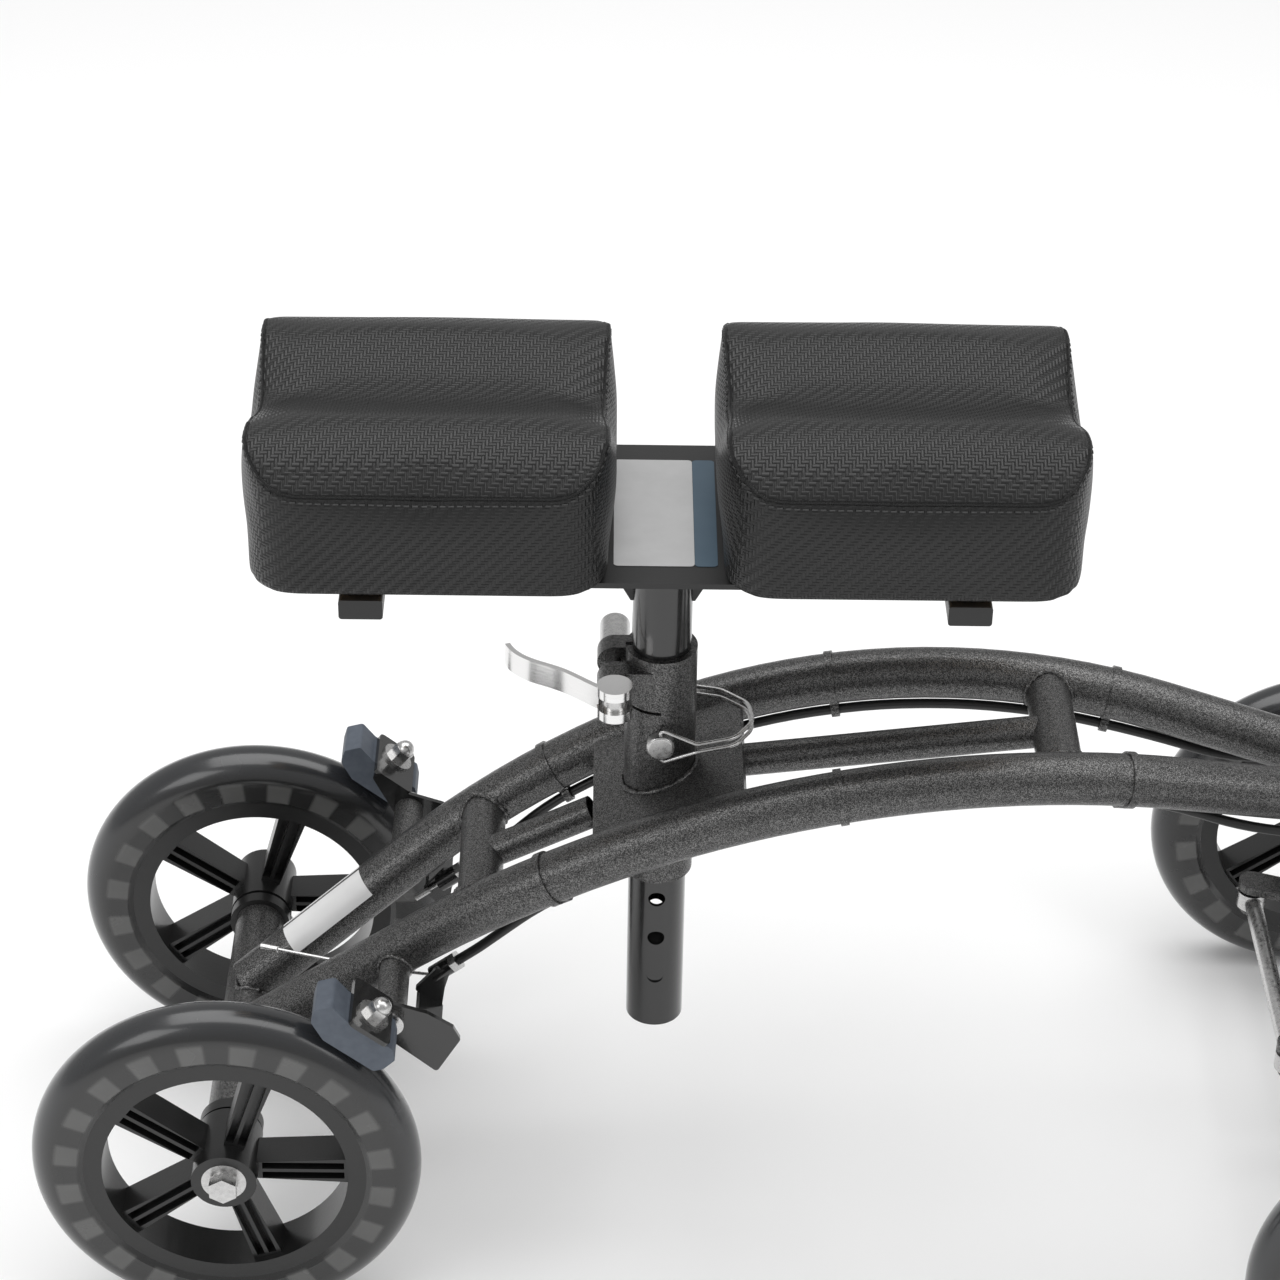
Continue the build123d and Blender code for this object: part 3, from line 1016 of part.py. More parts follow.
# ================================================================ mast and handlebar
TONGUE_HALF_WIDTH = CHEEK_INNER_Y - SOFT_GAP
TONGUE_RADIUS = 14.0
MAST_PLUG_BOTTOM = FOLD_Z + 20.0
MAST_PLUG_TOP = MAST_PLUG_BOTTOM + 20.0
STEM_BOTTOM = 490.0
STEM_WALL = 2.0
MAST_SLIT_LENGTH = 40.0
with BuildPart() as mast:
    with Locations((FRONT_X, 0, FOLD_Z)):
        Cylinder(TONGUE_RADIUS, 2 * TONGUE_HALF_WIDTH, rotation=(90, 0, 0))
    with Locations((FRONT_X, 0, (FOLD_Z + MAST_PLUG_BOTTOM) / 2)):
        Box(2 * TONGUE_RADIUS - 4, 2 * TONGUE_HALF_WIDTH - 2, MAST_PLUG_BOTTOM - FOLD_Z)
    with BuildSketch(Plane.XY.offset(MAST_PLUG_BOTTOM)):
        with Locations((FRONT_X, 0)):
            Circle(MAST_RADIUS)
    extrude(amount=MAST_TOP - MAST_PLUG_BOTTOM)
    with BuildSketch(Plane.XY.offset(MAST_PLUG_TOP)):
        with Locations((FRONT_X, 0)):
            Circle(STEM_RADIUS + RUNNING)
    extrude(amount=MAST_TOP - MAST_PLUG_TOP, mode=Mode.SUBTRACT)
    with Locations((FRONT_X, 0, FOLD_Z)):
        Cylinder(FOLD_BOLT_RADIUS + RUNNING, 4 * CHEEK_INNER_Y, rotation=(90, 0, 0), mode=Mode.SUBTRACT)
    with Locations((FRONT_X - MAST_RADIUS, 0, MAST_TOP)):
        Box(MAST_RADIUS, SLIT_WIDTH, 2 * MAST_SLIT_LENGTH, mode=Mode.SUBTRACT)
save(mast.part, "mast")

fold_bolt = skewer(FRONT_X, FOLD_Z, cheek_outer_y, FOLD_BOLT_RADIUS, 8.0, 8.0)
save(fold_bolt, "fold_bolt")
fold_lever = cam_lever(
    FRONT_X, FOLD_Z, cheek_outer_y, [(-6.9, 1.5), (-18.0, 4.0), (-32.0, 2.0), (-46.0, 6.0), (-58.0, 16.0)]
)
save(fold_lever, "fold_lever")

COLLAR_RADIUS = 20.0
COLLAR_HEIGHT = 26.0
COLLAR_TOP = MAST_TOP - 2.0
COLLAR_SKEWER_X = FRONT_X - 28.0
COLLAR_EAR_Y = 13.0
collar_z = COLLAR_TOP - COLLAR_HEIGHT / 2
with BuildPart() as mast_collar:
    with BuildSketch(Plane.XY.offset(collar_z - COLLAR_HEIGHT / 2)):
        with Locations((FRONT_X, 0)):
            Circle(COLLAR_RADIUS)
        with Locations(((FRONT_X + COLLAR_SKEWER_X) / 2 - 4, 0)):
            Rectangle(FRONT_X - COLLAR_SKEWER_X + 8, 2 * COLLAR_EAR_Y)
        with Locations((FRONT_X, 0)):
            Circle(MAST_RADIUS + RUNNING, mode=Mode.SUBTRACT)
        with Locations((COLLAR_SKEWER_X, 0)):
            Rectangle(3 * MAST_RADIUS, SLIT_WIDTH, mode=Mode.SUBTRACT)
    extrude(amount=COLLAR_HEIGHT)
    with Locations((COLLAR_SKEWER_X, 0, collar_z)):
        Cylinder(SKEWER_RADIUS + RUNNING, 4 * COLLAR_EAR_Y, rotation=(90, 0, 0), mode=Mode.SUBTRACT)
save(mast_collar.part, "mast_collar")
collar_skewer = skewer(COLLAR_SKEWER_X, collar_z, COLLAR_EAR_Y, SKEWER_RADIUS, 7.0, 7.0)
save(collar_skewer, "collar_skewer")
height_lever = cam_lever(
    COLLAR_SKEWER_X, collar_z, COLLAR_EAR_Y, [(6.9, -1.5), (17.0, -4.5), (30.0, -5.0), (43.0, -2.0), (54.0, 5.0)]
)
save(height_lever, "height_lever")

BAR_WALL = 2.0
SADDLE_RADIUS = 13.5
SADDLE_HALF = 22.0
with BuildPart() as handlebar:
    with BuildSketch(Plane.XY.offset(STEM_BOTTOM)):
        with Locations((FRONT_X, 0)):
            Circle(STEM_RADIUS)
    extrude(amount=HANDLEBAR_HEIGHT - STEM_BOTTOM)
    with Locations((FRONT_X, 0, HANDLEBAR_HEIGHT)):
        Cylinder(SADDLE_RADIUS, 2 * SADDLE_HALF, rotation=(90, 0, 0))
    with BuildSketch(Plane.XY.offset(STEM_BOTTOM)):
        with Locations((FRONT_X, 0)):
            Circle(STEM_RADIUS - STEM_WALL)
    extrude(amount=HANDLEBAR_HEIGHT - STEM_BOTTOM - BAR_RADIUS, mode=Mode.SUBTRACT)
    with Locations((FRONT_X, 0, HANDLEBAR_HEIGHT)):
        Cylinder(BAR_RADIUS, 2 * HANDLEBAR_HALF_WIDTH - 4, rotation=(90, 0, 0))
        Cylinder(BAR_RADIUS - BAR_WALL, 2 * HANDLEBAR_HALF_WIDTH, rotation=(90, 0, 0), mode=Mode.SUBTRACT)
save(handlebar.part, "handlebar")

GRIP_END_WALL = 2.0
with BuildPart() as grips:
    for _, side in sides():
        inner_y = side * (HANDLEBAR_HALF_WIDTH - GRIP_LENGTH)
        outer_y = side * HANDLEBAR_HALF_WIDTH
        bar_at = (FRONT_X, inner_y, HANDLEBAR_HEIGHT)
        add(rod(bar_at, (FRONT_X, outer_y, HANDLEBAR_HEIGHT), GRIP_RADIUS))
        add(
            rod(
                bar_at,
                (FRONT_X, outer_y - side * (GRIP_END_WALL - SOFT_GAP), HANDLEBAR_HEIGHT),
                BAR_RADIUS + RUNNING,
            ),
            mode=Mode.SUBTRACT,
        )
save(grips.part, "grips")

LEVER_PIVOT = (FRONT_X + 34.0, -74.0)
LEVER_HALF_THICKNESS = 3.0
BRACKET_RING_RADIUS = 15.0
LEVER_BRACKET_Y = (-84.0, -66.0)
LEVER_PIN_RADIUS = 3.0
JAW_HALF_HEIGHT = 7.5
bracket_middle_y = sum(LEVER_BRACKET_Y) / 2
bracket_length = LEVER_BRACKET_Y[1] - LEVER_BRACKET_Y[0]
with BuildPart() as lever_bracket:
    with Locations((FRONT_X, bracket_middle_y, HANDLEBAR_HEIGHT)):
        Cylinder(BRACKET_RING_RADIUS, bracket_length, rotation=(90, 0, 0))
    with Locations((FRONT_X + 26.0, bracket_middle_y, HANDLEBAR_HEIGHT)):
        Box(32.0, bracket_length, 2 * JAW_HALF_HEIGHT)
    with Locations((FRONT_X + 34.0, bracket_middle_y, HANDLEBAR_HEIGHT)):
        Box(28.0, 2 * bracket_length, 2 * (LEVER_HALF_THICKNESS + SOFT_GAP), mode=Mode.SUBTRACT)
    with Locations((LEVER_PIVOT[0], LEVER_PIVOT[1], HANDLEBAR_HEIGHT)):
        Cylinder(LEVER_PIN_RADIUS, 2 * JAW_HALF_HEIGHT)
    with Locations((FRONT_X, bracket_middle_y, HANDLEBAR_HEIGHT)):
        Cylinder(BAR_RADIUS + RUNNING, 2 * bracket_length, rotation=(90, 0, 0), mode=Mode.SUBTRACT)
save(lever_bracket.part, "lever_bracket")

with BuildPart() as brake_lever:
    with BuildSketch(Plane.XY.offset(HANDLEBAR_HEIGHT - LEVER_HALF_THICKNESS)):
        with Locations(LEVER_PIVOT):
            Circle(7.0)
        with BuildLine():
            Spline(
                [
                    (LEVER_PIVOT[0] + x, LEVER_PIVOT[1] + y)
                    for x, y in [(0.0, 0.0), (9.0, -16.0), (13.0, -40.0), (15.0, -75.0), (27.0, -116.0)]
                ]
            )
        trace(line_width=11.0)
        with Locations((LEVER_PIVOT[0] + 27.0, LEVER_PIVOT[1] - 116.0)):
            Circle(6.5)
        with Locations(LEVER_PIVOT):
            Circle(LEVER_PIN_RADIUS + RUNNING, mode=Mode.SUBTRACT)
    extrude(amount=2 * LEVER_HALF_THICKNESS)
save(brake_lever.part, "brake_lever")

# ================================================================ cables
CABLE_DROP = RAIL_RADIUS + CABLE_RADIUS + SOFT_GAP
CABLE_START = 190.0
CABLE_END = 512.0
CABLE_STEPS = 7
rail_length = rail_path.wires()[0].length


def under_rail(distance):
    """The cable's place under the left rail, at a distance along the rail from its rear end."""
    wire = rail_path.wires()[0]
    part_way = distance / rail_length
    return wire @ part_way + (wire % part_way).cross(rail_plane.z_dir).normalized() * CABLE_DROP


def cable(name, points):
    """A round cable through its points, with as large an arc at each as the runs allow."""
    points = [Vector(*point) for point in points]
    bends = []
    for before, here, after in zip(points[:-2], points[1:-1], points[2:]):
        turn = (here - before).get_angle(after - here)
        shorter = min((here - before).length, (after - here).length)
        half_turn = radians(turn / 2)
        bends.append(0.45 * shorter * cos(half_turn) / sin(half_turn))
    with BuildPart() as run:
        with BuildLine() as middle:
            FilletPolyline(points, radius=bends)
        with BuildSketch(Plane(origin=middle.line @ 0, z_dir=middle.line % 0)):
            Circle(CABLE_RADIUS)
        sweep(path=middle.wires()[0])
    length = middle.wires()[0].length
    share = run.part.volume / (length * pi * CABLE_RADIUS**2)
    print(f"{name}: {length:.0f} mm long, tightest bend {min(bends):.0f} mm, volume share {share:.3f}")
    return run.part


guided_steps = [step / CABLE_STEPS for step in range(CABLE_STEPS + 1)]
guided = [under_rail(CABLE_START + (CABLE_END - CABLE_START) * step) for step in guided_steps]
cable_front = Vector(*adjuster_at) + adjuster_axis * (ADJUSTER_LENGTH / 2 + 4.0)
frame_route = (
    [cable_front + adjuster_axis * 0.1, cable_front + adjuster_axis * 12.0]
    + guided
    + [(205, 29, 246), (250, 34, 246), (290, 35, 262), (316, 22, 280), (323, 4.8, 296), (323, 4.6, 309.6)]
)
frame_cable = cable("frame cable", frame_route)
save(group([frame_cable] + mirrored([frame_cable])), "frame_cables")

fold_route = [(323, 4.6, 310), (325, 4.4, 330), (327, 4, 356), (322, 3.6, 392), (316.5, 3.2, 430)]
fold_cable = cable("fold cable", fold_route)
save(group([fold_cable] + mirrored([fold_cable])), "fold_cables")

upper_route = [
    (316.5, 3.2, 431),
    (317.5, 3.2, 590),
    (317.0, 3.2, 740),
    (322, 0, 812),
    (332, -16, 862),
    (334, -38, 889),
    (326, -65.0, 893.2),
]
lower_route = [
    (316.5, -3.2, 431),
    (317.5, -3.2, 590),
    (317.0, -3.2, 738),
    (322, -8, 806),
    (332, -22, 854),
    (334, -42, 881.5),
    (326, -65.0, 886.8),
]
save(group([cable("upper bar cable", upper_route), cable("lower bar cable", lower_route)]), "bar_cables")

CLIP_WIDTH = 4.0
CLIP_THICKNESS = 1.0
CLIP_SLACK = 1.1
clip_spots = (200.0, 350.0, 490.0)
clips = []
for spot in clip_spots:
    wire = rail_path.wires()[0]
    middle = wire @ (spot / rail_length)
    down = (under_rail(spot) - middle).normalized()
    clip_plane = Plane(origin=middle, x_dir=down, z_dir=wire % (spot / rail_length))
    with BuildPart() as clip:
        with BuildSketch(clip_plane):
            Circle(RAIL_RADIUS + RUNNING + CLIP_THICKNESS)
            with Locations((CABLE_DROP, 0)):
                Circle(CABLE_RADIUS + CLIP_SLACK + CLIP_THICKNESS)
            Circle(RAIL_RADIUS + RUNNING, mode=Mode.SUBTRACT)
            with Locations((CABLE_DROP, 0)):
                Circle(CABLE_RADIUS + CLIP_SLACK, mode=Mode.SUBTRACT)
        extrude(amount=CLIP_WIDTH / 2, both=True)
    clips.append(clip.part)
save(group(clips + mirrored(clips)), "cable_clips")
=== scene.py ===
# %% [markdown]
# # A knee scooter, finished in Blender
# The solid parts come from CAD already made and placed. This lesson gives each of them its
# finish, and makes what CAD can't make well: the sewn knee pads, weld beads and labels.
# Everything is in metres. +X is forward, +Y is the rider's left and +Z is up.

# %% Load the frame
import json
import math

import bmesh
import bpy
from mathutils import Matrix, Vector
from mathutils.bvhtree import BVHTree


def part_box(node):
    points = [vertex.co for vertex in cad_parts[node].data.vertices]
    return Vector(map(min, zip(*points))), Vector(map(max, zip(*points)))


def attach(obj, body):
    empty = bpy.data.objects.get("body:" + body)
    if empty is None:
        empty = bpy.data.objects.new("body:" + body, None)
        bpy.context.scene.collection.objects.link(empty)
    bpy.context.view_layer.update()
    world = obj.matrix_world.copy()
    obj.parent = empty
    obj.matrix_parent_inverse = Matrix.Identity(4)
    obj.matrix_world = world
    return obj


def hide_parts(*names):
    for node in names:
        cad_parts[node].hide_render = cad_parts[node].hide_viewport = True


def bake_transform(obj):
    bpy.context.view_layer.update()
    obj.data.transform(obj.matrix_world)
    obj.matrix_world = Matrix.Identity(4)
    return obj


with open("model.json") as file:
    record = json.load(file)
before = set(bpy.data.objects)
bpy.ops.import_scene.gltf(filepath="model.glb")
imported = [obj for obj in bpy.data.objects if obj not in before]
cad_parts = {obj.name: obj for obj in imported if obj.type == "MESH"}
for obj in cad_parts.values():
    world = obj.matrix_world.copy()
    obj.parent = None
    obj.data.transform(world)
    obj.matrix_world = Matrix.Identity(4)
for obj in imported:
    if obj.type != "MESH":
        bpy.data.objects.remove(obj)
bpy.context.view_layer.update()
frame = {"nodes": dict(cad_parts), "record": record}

# %% Sizes that the pieces share
MM = 0.001
REAR_AXLE_X = -292.5 * MM
FRONT_AXLE_X = 292.5 * MM
AXLE_Z = 95.25 * MM
POST_X = -82.8 * MM
print("wheelbase:", FRONT_AXLE_X - REAR_AXLE_X)

# %% [markdown]
# ## Shader maths that reads like arithmetic
# A material is a small network of nodes. Joining dozens of Math nodes by hand hides the idea, so
# one small class wraps a socket and turns `a * b + c` into those nodes. A second class holds the
# material and has a single method that adds any other node.


# %% A socket that can be added and multiplied
class Wire:
    def __init__(self, finish, socket):
        self.finish = finish
        self.socket = socket

    def maths(self, operation, first, second=0.0):
        return self.finish.node("ShaderNodeMath", {"operation": operation}, {0: first, 1: second})

    def __add__(self, other):
        return self.maths("ADD", self, other)

    __radd__ = __add__

    def __mul__(self, other):
        return self.maths("MULTIPLY", self, other)

    __rmul__ = __mul__

    def __sub__(self, other):
        return self.maths("SUBTRACT", self, other)

    def __rsub__(self, other):
        return self.maths("SUBTRACT", other, self)

    def __truediv__(self, other):
        return self.maths("DIVIDE", self, other)

    def __abs__(self):
        return self.maths("ABSOLUTE", self)

    def call(self, operation, second=0.0):
        return self.maths(operation, self, second)

    def ramp(self, low, high):
        """0 below low, 1 above high, and smooth between."""
        return self.finish.node(
            "ShaderNodeMapRange",
            {"interpolation_type": "SMOOTHSTEP"},
            {"Value": self, "From Min": low, "From Max": high},
        )


# %% A material with one way to add a node
class Finish:
    def __init__(self, name, **constants):
        self.material = bpy.data.materials.new(name)
        self.material.use_nodes = True
        self.tree = self.material.node_tree
        self.shader = self.tree.nodes["Principled BSDF"]
        for socket, value in constants.items():
            self.shader.inputs[socket.replace("_", " ")].default_value = value

    def node(self, kind, settings=None, inputs=None, output=0):
        made = self.tree.nodes.new(kind)
        for name, value in (settings or {}).items():
            setattr(made, name, value)
        for key, value in (inputs or {}).items():
            if isinstance(value, Wire):
                self.tree.links.new(value.socket, made.inputs[key])
            else:
                made.inputs[key].default_value = value
        return Wire(self, made.outputs[output])

    def place(self):
        return self.node("ShaderNodeTexCoord", output="Object")

    def noise(self, scale, detail=2.0, vector=None):
        vector = vector or self.place()
        inputs = {"Vector": vector, "Scale": scale, "Detail": detail}
        return self.node("ShaderNodeTexNoise", {}, inputs, "Fac")

    def mix(self, factor, first, second):
        made = self.tree.nodes.new("ShaderNodeMix")
        made.data_type = "RGBA"
        for value, socket in ((factor, made.inputs[0]), (first, made.inputs[6]), (second, made.inputs[7])):
            if isinstance(value, Wire):
                self.tree.links.new(value.socket, socket)
            else:
                socket.default_value = value
        return Wire(self, made.outputs[2])

    def feed(self, name, wire):
        self.tree.links.new(wire.socket, self.shader.inputs[name])

    def bump(self, height, distance, strength=1.0):
        inputs = {"Height": height, "Distance": distance, "Strength": strength}
        self.feed("Normal", self.node("ShaderNodeBump", {}, inputs))


def grey(value, warm=0.0):
    """A linear grey, a little warm or cool."""
    return (value * (1 + warm), value, value * (1 - warm), 1.0)


print("a finish is ready to take nodes")

# %% [markdown]
# ## Hammered frame paint
# The tubes wear a hammered powder coat: dark grey paint whose surface gathers in cells under a
# millimetre wide, with aluminium flake bright on the ridges. Two noises at different scales mix
# the flake, and a cell pattern drives the bump, so light breaks up along each tube.

# %% Hammered paint
hammered = Finish("hammered_paint", Metallic=0.72, Coat_Weight=0.2, Coat_Roughness=0.18)
cell_inputs = {"Vector": hammered.place(), "Scale": 900.0}
cells = hammered.node("ShaderNodeTexVoronoi", {"feature": "SMOOTH_F1"}, cell_inputs, "Distance")
flake = hammered.noise(2300.0, 3.0)
patches = hammered.noise(700.0, 2.0)
bright = (flake * 0.8 + patches * 0.2).ramp(0.44, 0.6)
hammered.feed("Base Color", hammered.mix(bright, grey(0.028), grey(0.2, 0.01)))
hammered.feed("Roughness", 0.46 - bright * 0.14)
hammered.bump(cells + flake * 0.7, 0.00032, 0.5)
print("made", hammered.material.name)

# %% [markdown]
# ## Black paints and plastics
# The seat post and brake arms are gloss black enamel, which shows a slight orange peel. The seat
# plate is satin. Moulded plastic is softer still, with a fine spark-eroded grain. Each is the
# same recipe with its own numbers, so a function makes them.


# %% Blacks
def black(name, value, roughness, peel_scale, peel_depth, coat=0.0):
    made = Finish(name, Coat_Weight=coat, Coat_Roughness=0.08)
    cloud = made.noise(35.0, 3.0)
    made.feed("Base Color", made.mix(cloud, grey(value * 0.8), grey(value * 1.25)))
    made.feed("Roughness", cloud * 0.14 + (roughness - 0.07))
    made.bump(made.noise(peel_scale, 2.0), peel_depth, 0.5)
    return made


gloss_black = black("gloss_black_enamel", 0.010, 0.22, 300.0, 0.00012, 0.6)
satin_black = black("satin_black_paint", 0.014, 0.42, 900.0, 0.00008)
moulded_black = black("moulded_black_plastic", 0.012, 0.36, 1200.0, 0.0001)
wheel_black = black("wheel_black_nylon", 0.009, 0.33, 700.0, 0.0001, 0.15)
cable_black = black("cable_black_sleeve", 0.012, 0.4, 800.0, 0.0001)
grip_black = black("grip_black_foam", 0.013, 0.75, 2200.0, 0.0003)
print("made", gloss_black.material.name, "and its family")

# %% [markdown]
# ## Bare metals
# Bolts, nuts and the lock pin are zinc plated: light grey, softly mottled. The clamp lever is
# polished aluminium, and keeps the fine lines of the polishing belt.

# %% Zinc and aluminium
zinc = Finish("bright_zinc", Metallic=1.0)
mottle = zinc.noise(420.0, 3.0)
zinc.feed("Base Color", zinc.mix(mottle, grey(0.42), grey(0.72, 0.01)))
zinc.feed("Roughness", mottle * 0.25 + 0.16)
zinc.bump(mottle, 0.00008, 0.4)

aluminium = Finish("polished_aluminium", Metallic=1.0)
belt_inputs = {"Vector": aluminium.place(), "Scale": (60.0, 60.0, 2600.0)}
stretched = aluminium.node("ShaderNodeMapping", {}, belt_inputs)
belt = aluminium.noise(1.0, 3.0, stretched)
aluminium.feed("Base Color", aluminium.mix(belt, grey(0.70), grey(0.88, 0.01)))
aluminium.feed("Roughness", belt * 0.14 + 0.1)
aluminium.bump(belt, 0.00004, 0.35)
print("made", zinc.material.name, aluminium.material.name)

# %% [markdown]
# ## Brake rubber and plywood
# The brake blocks are blue-grey rubber, dusty from use. The boards in the pads are raw plywood,
# which shows only from below.

# %% Rubber and wood
brake_rubber = Finish("blue_grey_rubber")
dust = brake_rubber.noise(240.0, 4.0)
brake_rubber.feed("Base Color", brake_rubber.mix(dust, (0.052, 0.064, 0.086, 1), (0.115, 0.135, 0.165, 1)))
brake_rubber.feed("Roughness", dust * 0.2 + 0.5)
brake_rubber.bump(dust, 0.0003, 0.4)

plywood = Finish("raw_plywood", Roughness=0.8)
grain_inputs = {"Vector": plywood.place(), "Scale": (12.0, 220.0, 220.0)}
grain = plywood.noise(1.0, 4.0, plywood.node("ShaderNodeMapping", {}, grain_inputs))
plywood.feed("Base Color", plywood.mix(grain, (0.42, 0.28, 0.15, 1), (0.62, 0.45, 0.27, 1)))
print("made", brake_rubber.material.name, plywood.material.name)

# %% [markdown]
# ## Smoky see-through tyres
# The tyres are smoky polyurethane cast over twenty lugs of the black wheel. Between the lugs the
# clear rubber has nothing dark behind it, so each side shows a ring of twenty paler windows.
# The pattern is worked out from the distance and the angle round each wheel's own axle.
# WINDOW_RADII are where the windows fade in and out, and EDGE_RADII where the tread pales.


# %% One tyre finish for each axle
WINDOW_RADII = (70.5 * MM, 72.5 * MM, 81.5 * MM, 84.5 * MM)
EDGE_RADII = (84.0 * MM, 92.5 * MM)
LUGS = 20


def smoky_tyre(name, axle_x):
    made = Finish(name, Coat_Weight=0.5, Coat_Roughness=0.12, IOR=1.5)
    to_axle = {"Vector": made.place(), "Location": (-axle_x, 0.0, -AXLE_Z)}
    centred = made.node("ShaderNodeMapping", {}, to_axle)
    parts = made.tree.nodes.new("ShaderNodeSeparateXYZ")
    made.tree.links.new(centred.socket, parts.inputs[0])
    x = Wire(made, parts.outputs[0])
    z = Wire(made, parts.outputs[2])
    radius = (x * x + z * z).call("SQRT")
    turn = z.maths("ARCTAN2", z, x) * (LUGS / (2 * math.pi)) + float(LUGS)
    between = abs(turn.call("FRACT") - 0.5)
    smoke = made.noise(60.0, 3.0)
    ring = radius.ramp(*WINDOW_RADII[:2]) * (1.0 - radius.ramp(*WINDOW_RADII[2:]))
    window = (1.0 - between.ramp(0.20, 0.30)) * ring
    edge = radius.ramp(*EDGE_RADII)
    clear = made.mix(edge * 0.5, grey(0.009), (0.034, 0.036, 0.040, 1))
    shade = made.mix(window * (smoke * 0.5 + 0.5), clear, (0.105, 0.105, 0.102, 1))
    made.feed("Base Color", shade)
    made.feed("Roughness", smoke * 0.12 + 0.2)
    made.bump(smoke * 0.3 - window * 0.4, 0.0004, 0.4)
    return made


rear_tyre = smoky_tyre("smoky_rear_tyre", REAR_AXLE_X)
front_tyre = smoky_tyre("smoky_front_tyre", FRONT_AXLE_X)
print("made", rear_tyre.material.name, front_tyre.material.name)

# %% [markdown]
# ## Embossed vinyl
# The pads are covered in black vinyl embossed like a woven twill. Short raised dashes step along
# a diagonal. The pattern follows the cover through its UV map, which is kept in metres, so the
# weave has its true size.


# %% Twill vinyl
TWILL = 1.6 * MM
vinyl = Finish("twill_vinyl", Specular_IOR_Level=0.4)
spread = vinyl.tree.nodes.new("ShaderNodeSeparateXYZ")
vinyl.tree.links.new(vinyl.node("ShaderNodeTexCoord", output="UV").socket, spread.inputs[0])
across = Wire(vinyl, spread.outputs[0]) / TWILL
along = Wire(vinyl, spread.outputs[1]) / TWILL
column = across.call("FLOOR")
row = along.call("FLOOR")
over = ((column - row) / 4.0).call("FRACT").call("LESS_THAN", 0.49)
in_column = across.call("FRACT") - 0.5
in_row = along.call("FRACT") - 0.5
warp = 1.0 - (in_column * in_column) * 4.0
weft = 1.0 - (in_row * in_row) * 4.0
height = warp * over + weft * (1.0 - over) * 0.8
crease = vinyl.noise(900.0, 3.0)
# Painted shade: the base colour follows the emboss height, darker in the sunken parts of the weave and
# lighter on the raised dashes.
vinyl.feed("Base Color", vinyl.mix(height, grey(0.004), grey(0.013)))
vinyl.feed("Roughness", crease * 0.14 + 0.34 - over * 0.08)
vinyl.bump(height + crease * 0.15, 0.0004, 0.8)
thread = Finish("black_thread", Roughness=0.6)
thread.feed("Base Color", thread.mix(thread.noise(1500.0), grey(0.010), grey(0.05)))
print("made", vinyl.material.name, thread.material.name)

# %% [markdown]
# ## Label stock
# The labels are plain printed film: a silver panel with a blue-grey band, and a white one.
# They carry no words.

# %% Label films
def film(name, first, second, shine):
    made = Finish(name, Metallic=shine, Roughness=0.38)
    made.feed("Base Color", made.mix(made.noise(90.0, 3.0), first, second))
    return made


silver_film = film("silver_film", grey(0.50), grey(0.60), 0.35)
blue_film = film("blue_grey_film", (0.055, 0.095, 0.135, 1), (0.075, 0.12, 0.16, 1), 0.1)
white_film = film("white_film", grey(0.72), grey(0.82), 0.0)
print("made", silver_film.material.name, blue_film.material.name, white_film.material.name)

# %% [markdown]
# ## Dressing the CAD parts
# A CAD part keeps its shape and only gets a finish, put in its material slots. The record says
# which slot each part uses, so a table from slot to finish is enough.

# %% Give each CAD part its finish
finishes = {
    "hammertone": hammered,
    "black_gloss": gloss_black,
    "black_satin": satin_black,
    "black_plastic": moulded_black,
    "zinc": zinc,
    "polished_aluminium": aluminium,
    "wheel_plastic": wheel_black,
    "brake_rubber": brake_rubber,
    "plywood": plywood,
    "grip_rubber": grip_black,
    "cable_black": cable_black,
    "vinyl": vinyl,
}
for entry in frame["record"]["subparts"]:
    node = frame["nodes"][entry["node"]]
    if entry["material_slot"] == "smoky_tyre":
        finish = rear_tyre if entry["node"].startswith("rear") else front_tyre
    else:
        finish = finishes[entry["material_slot"]]
    if entry["node"] == "cable_clips":
        finish = hammered
    node.data.materials.clear()
    node.data.materials.append(finish.material)

# %% [markdown]
# ## Small helpers for modelling
# Blender's operators act on whatever is selected, so each step starts by letting everything go.
# A finished piece rests at the origin with its place in its mesh.


# %% Selecting and finishing
def let_go():
    if bpy.context.object and bpy.context.object.mode != "OBJECT":
        bpy.ops.object.mode_set(mode="OBJECT")
    bpy.ops.object.select_all(action="DESELECT")


def take(piece):
    let_go()
    piece.select_set(True)
    bpy.context.view_layer.objects.active = piece


def apply_all(piece):
    take(piece)
    for modifier in list(piece.modifiers):
        bpy.ops.object.modifier_apply(modifier=modifier.name)


def settle(piece, name, finish, body):
    """Name the piece, put its place in its mesh, dress it and let it ride on its body."""
    take(piece)
    if piece.type != "MESH":
        bpy.ops.object.convert(target="MESH")
        piece = bpy.context.object
    bpy.ops.object.transform_apply(location=True, rotation=True, scale=True)
    piece.name = name
    piece.data.name = name
    piece.data.materials.clear()
    piece.data.materials.append(finish.material)
    if body:
        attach(piece, body)
    return piece


def joined(pieces):
    """One mesh from several."""
    take(pieces[0])
    for piece in pieces:
        piece.select_set(True)
    bpy.ops.object.join()
    return bpy.context.object


def copy_of(node_name, name):
    """A loose copy of a CAD part's mesh, with its doubled points merged."""
    mesh = frame["nodes"][node_name].data.copy()
    piece = bpy.data.objects.new(name, mesh)
    bpy.context.collection.objects.link(piece)
    take(piece)
    bpy.ops.object.mode_set(mode="EDIT")
    bpy.ops.mesh.select_all(action="SELECT")
    bpy.ops.mesh.remove_doubles(threshold=0.00001)
    bpy.ops.object.mode_set(mode="OBJECT")
    return piece


def surface_of(piece):
    """The piece's surface, ready to be asked for its nearest point."""
    form = bmesh.new()
    form.from_mesh(piece.data)
    tree = BVHTree.FromBMesh(form)
    form.free()
    return tree


print("helpers ready")

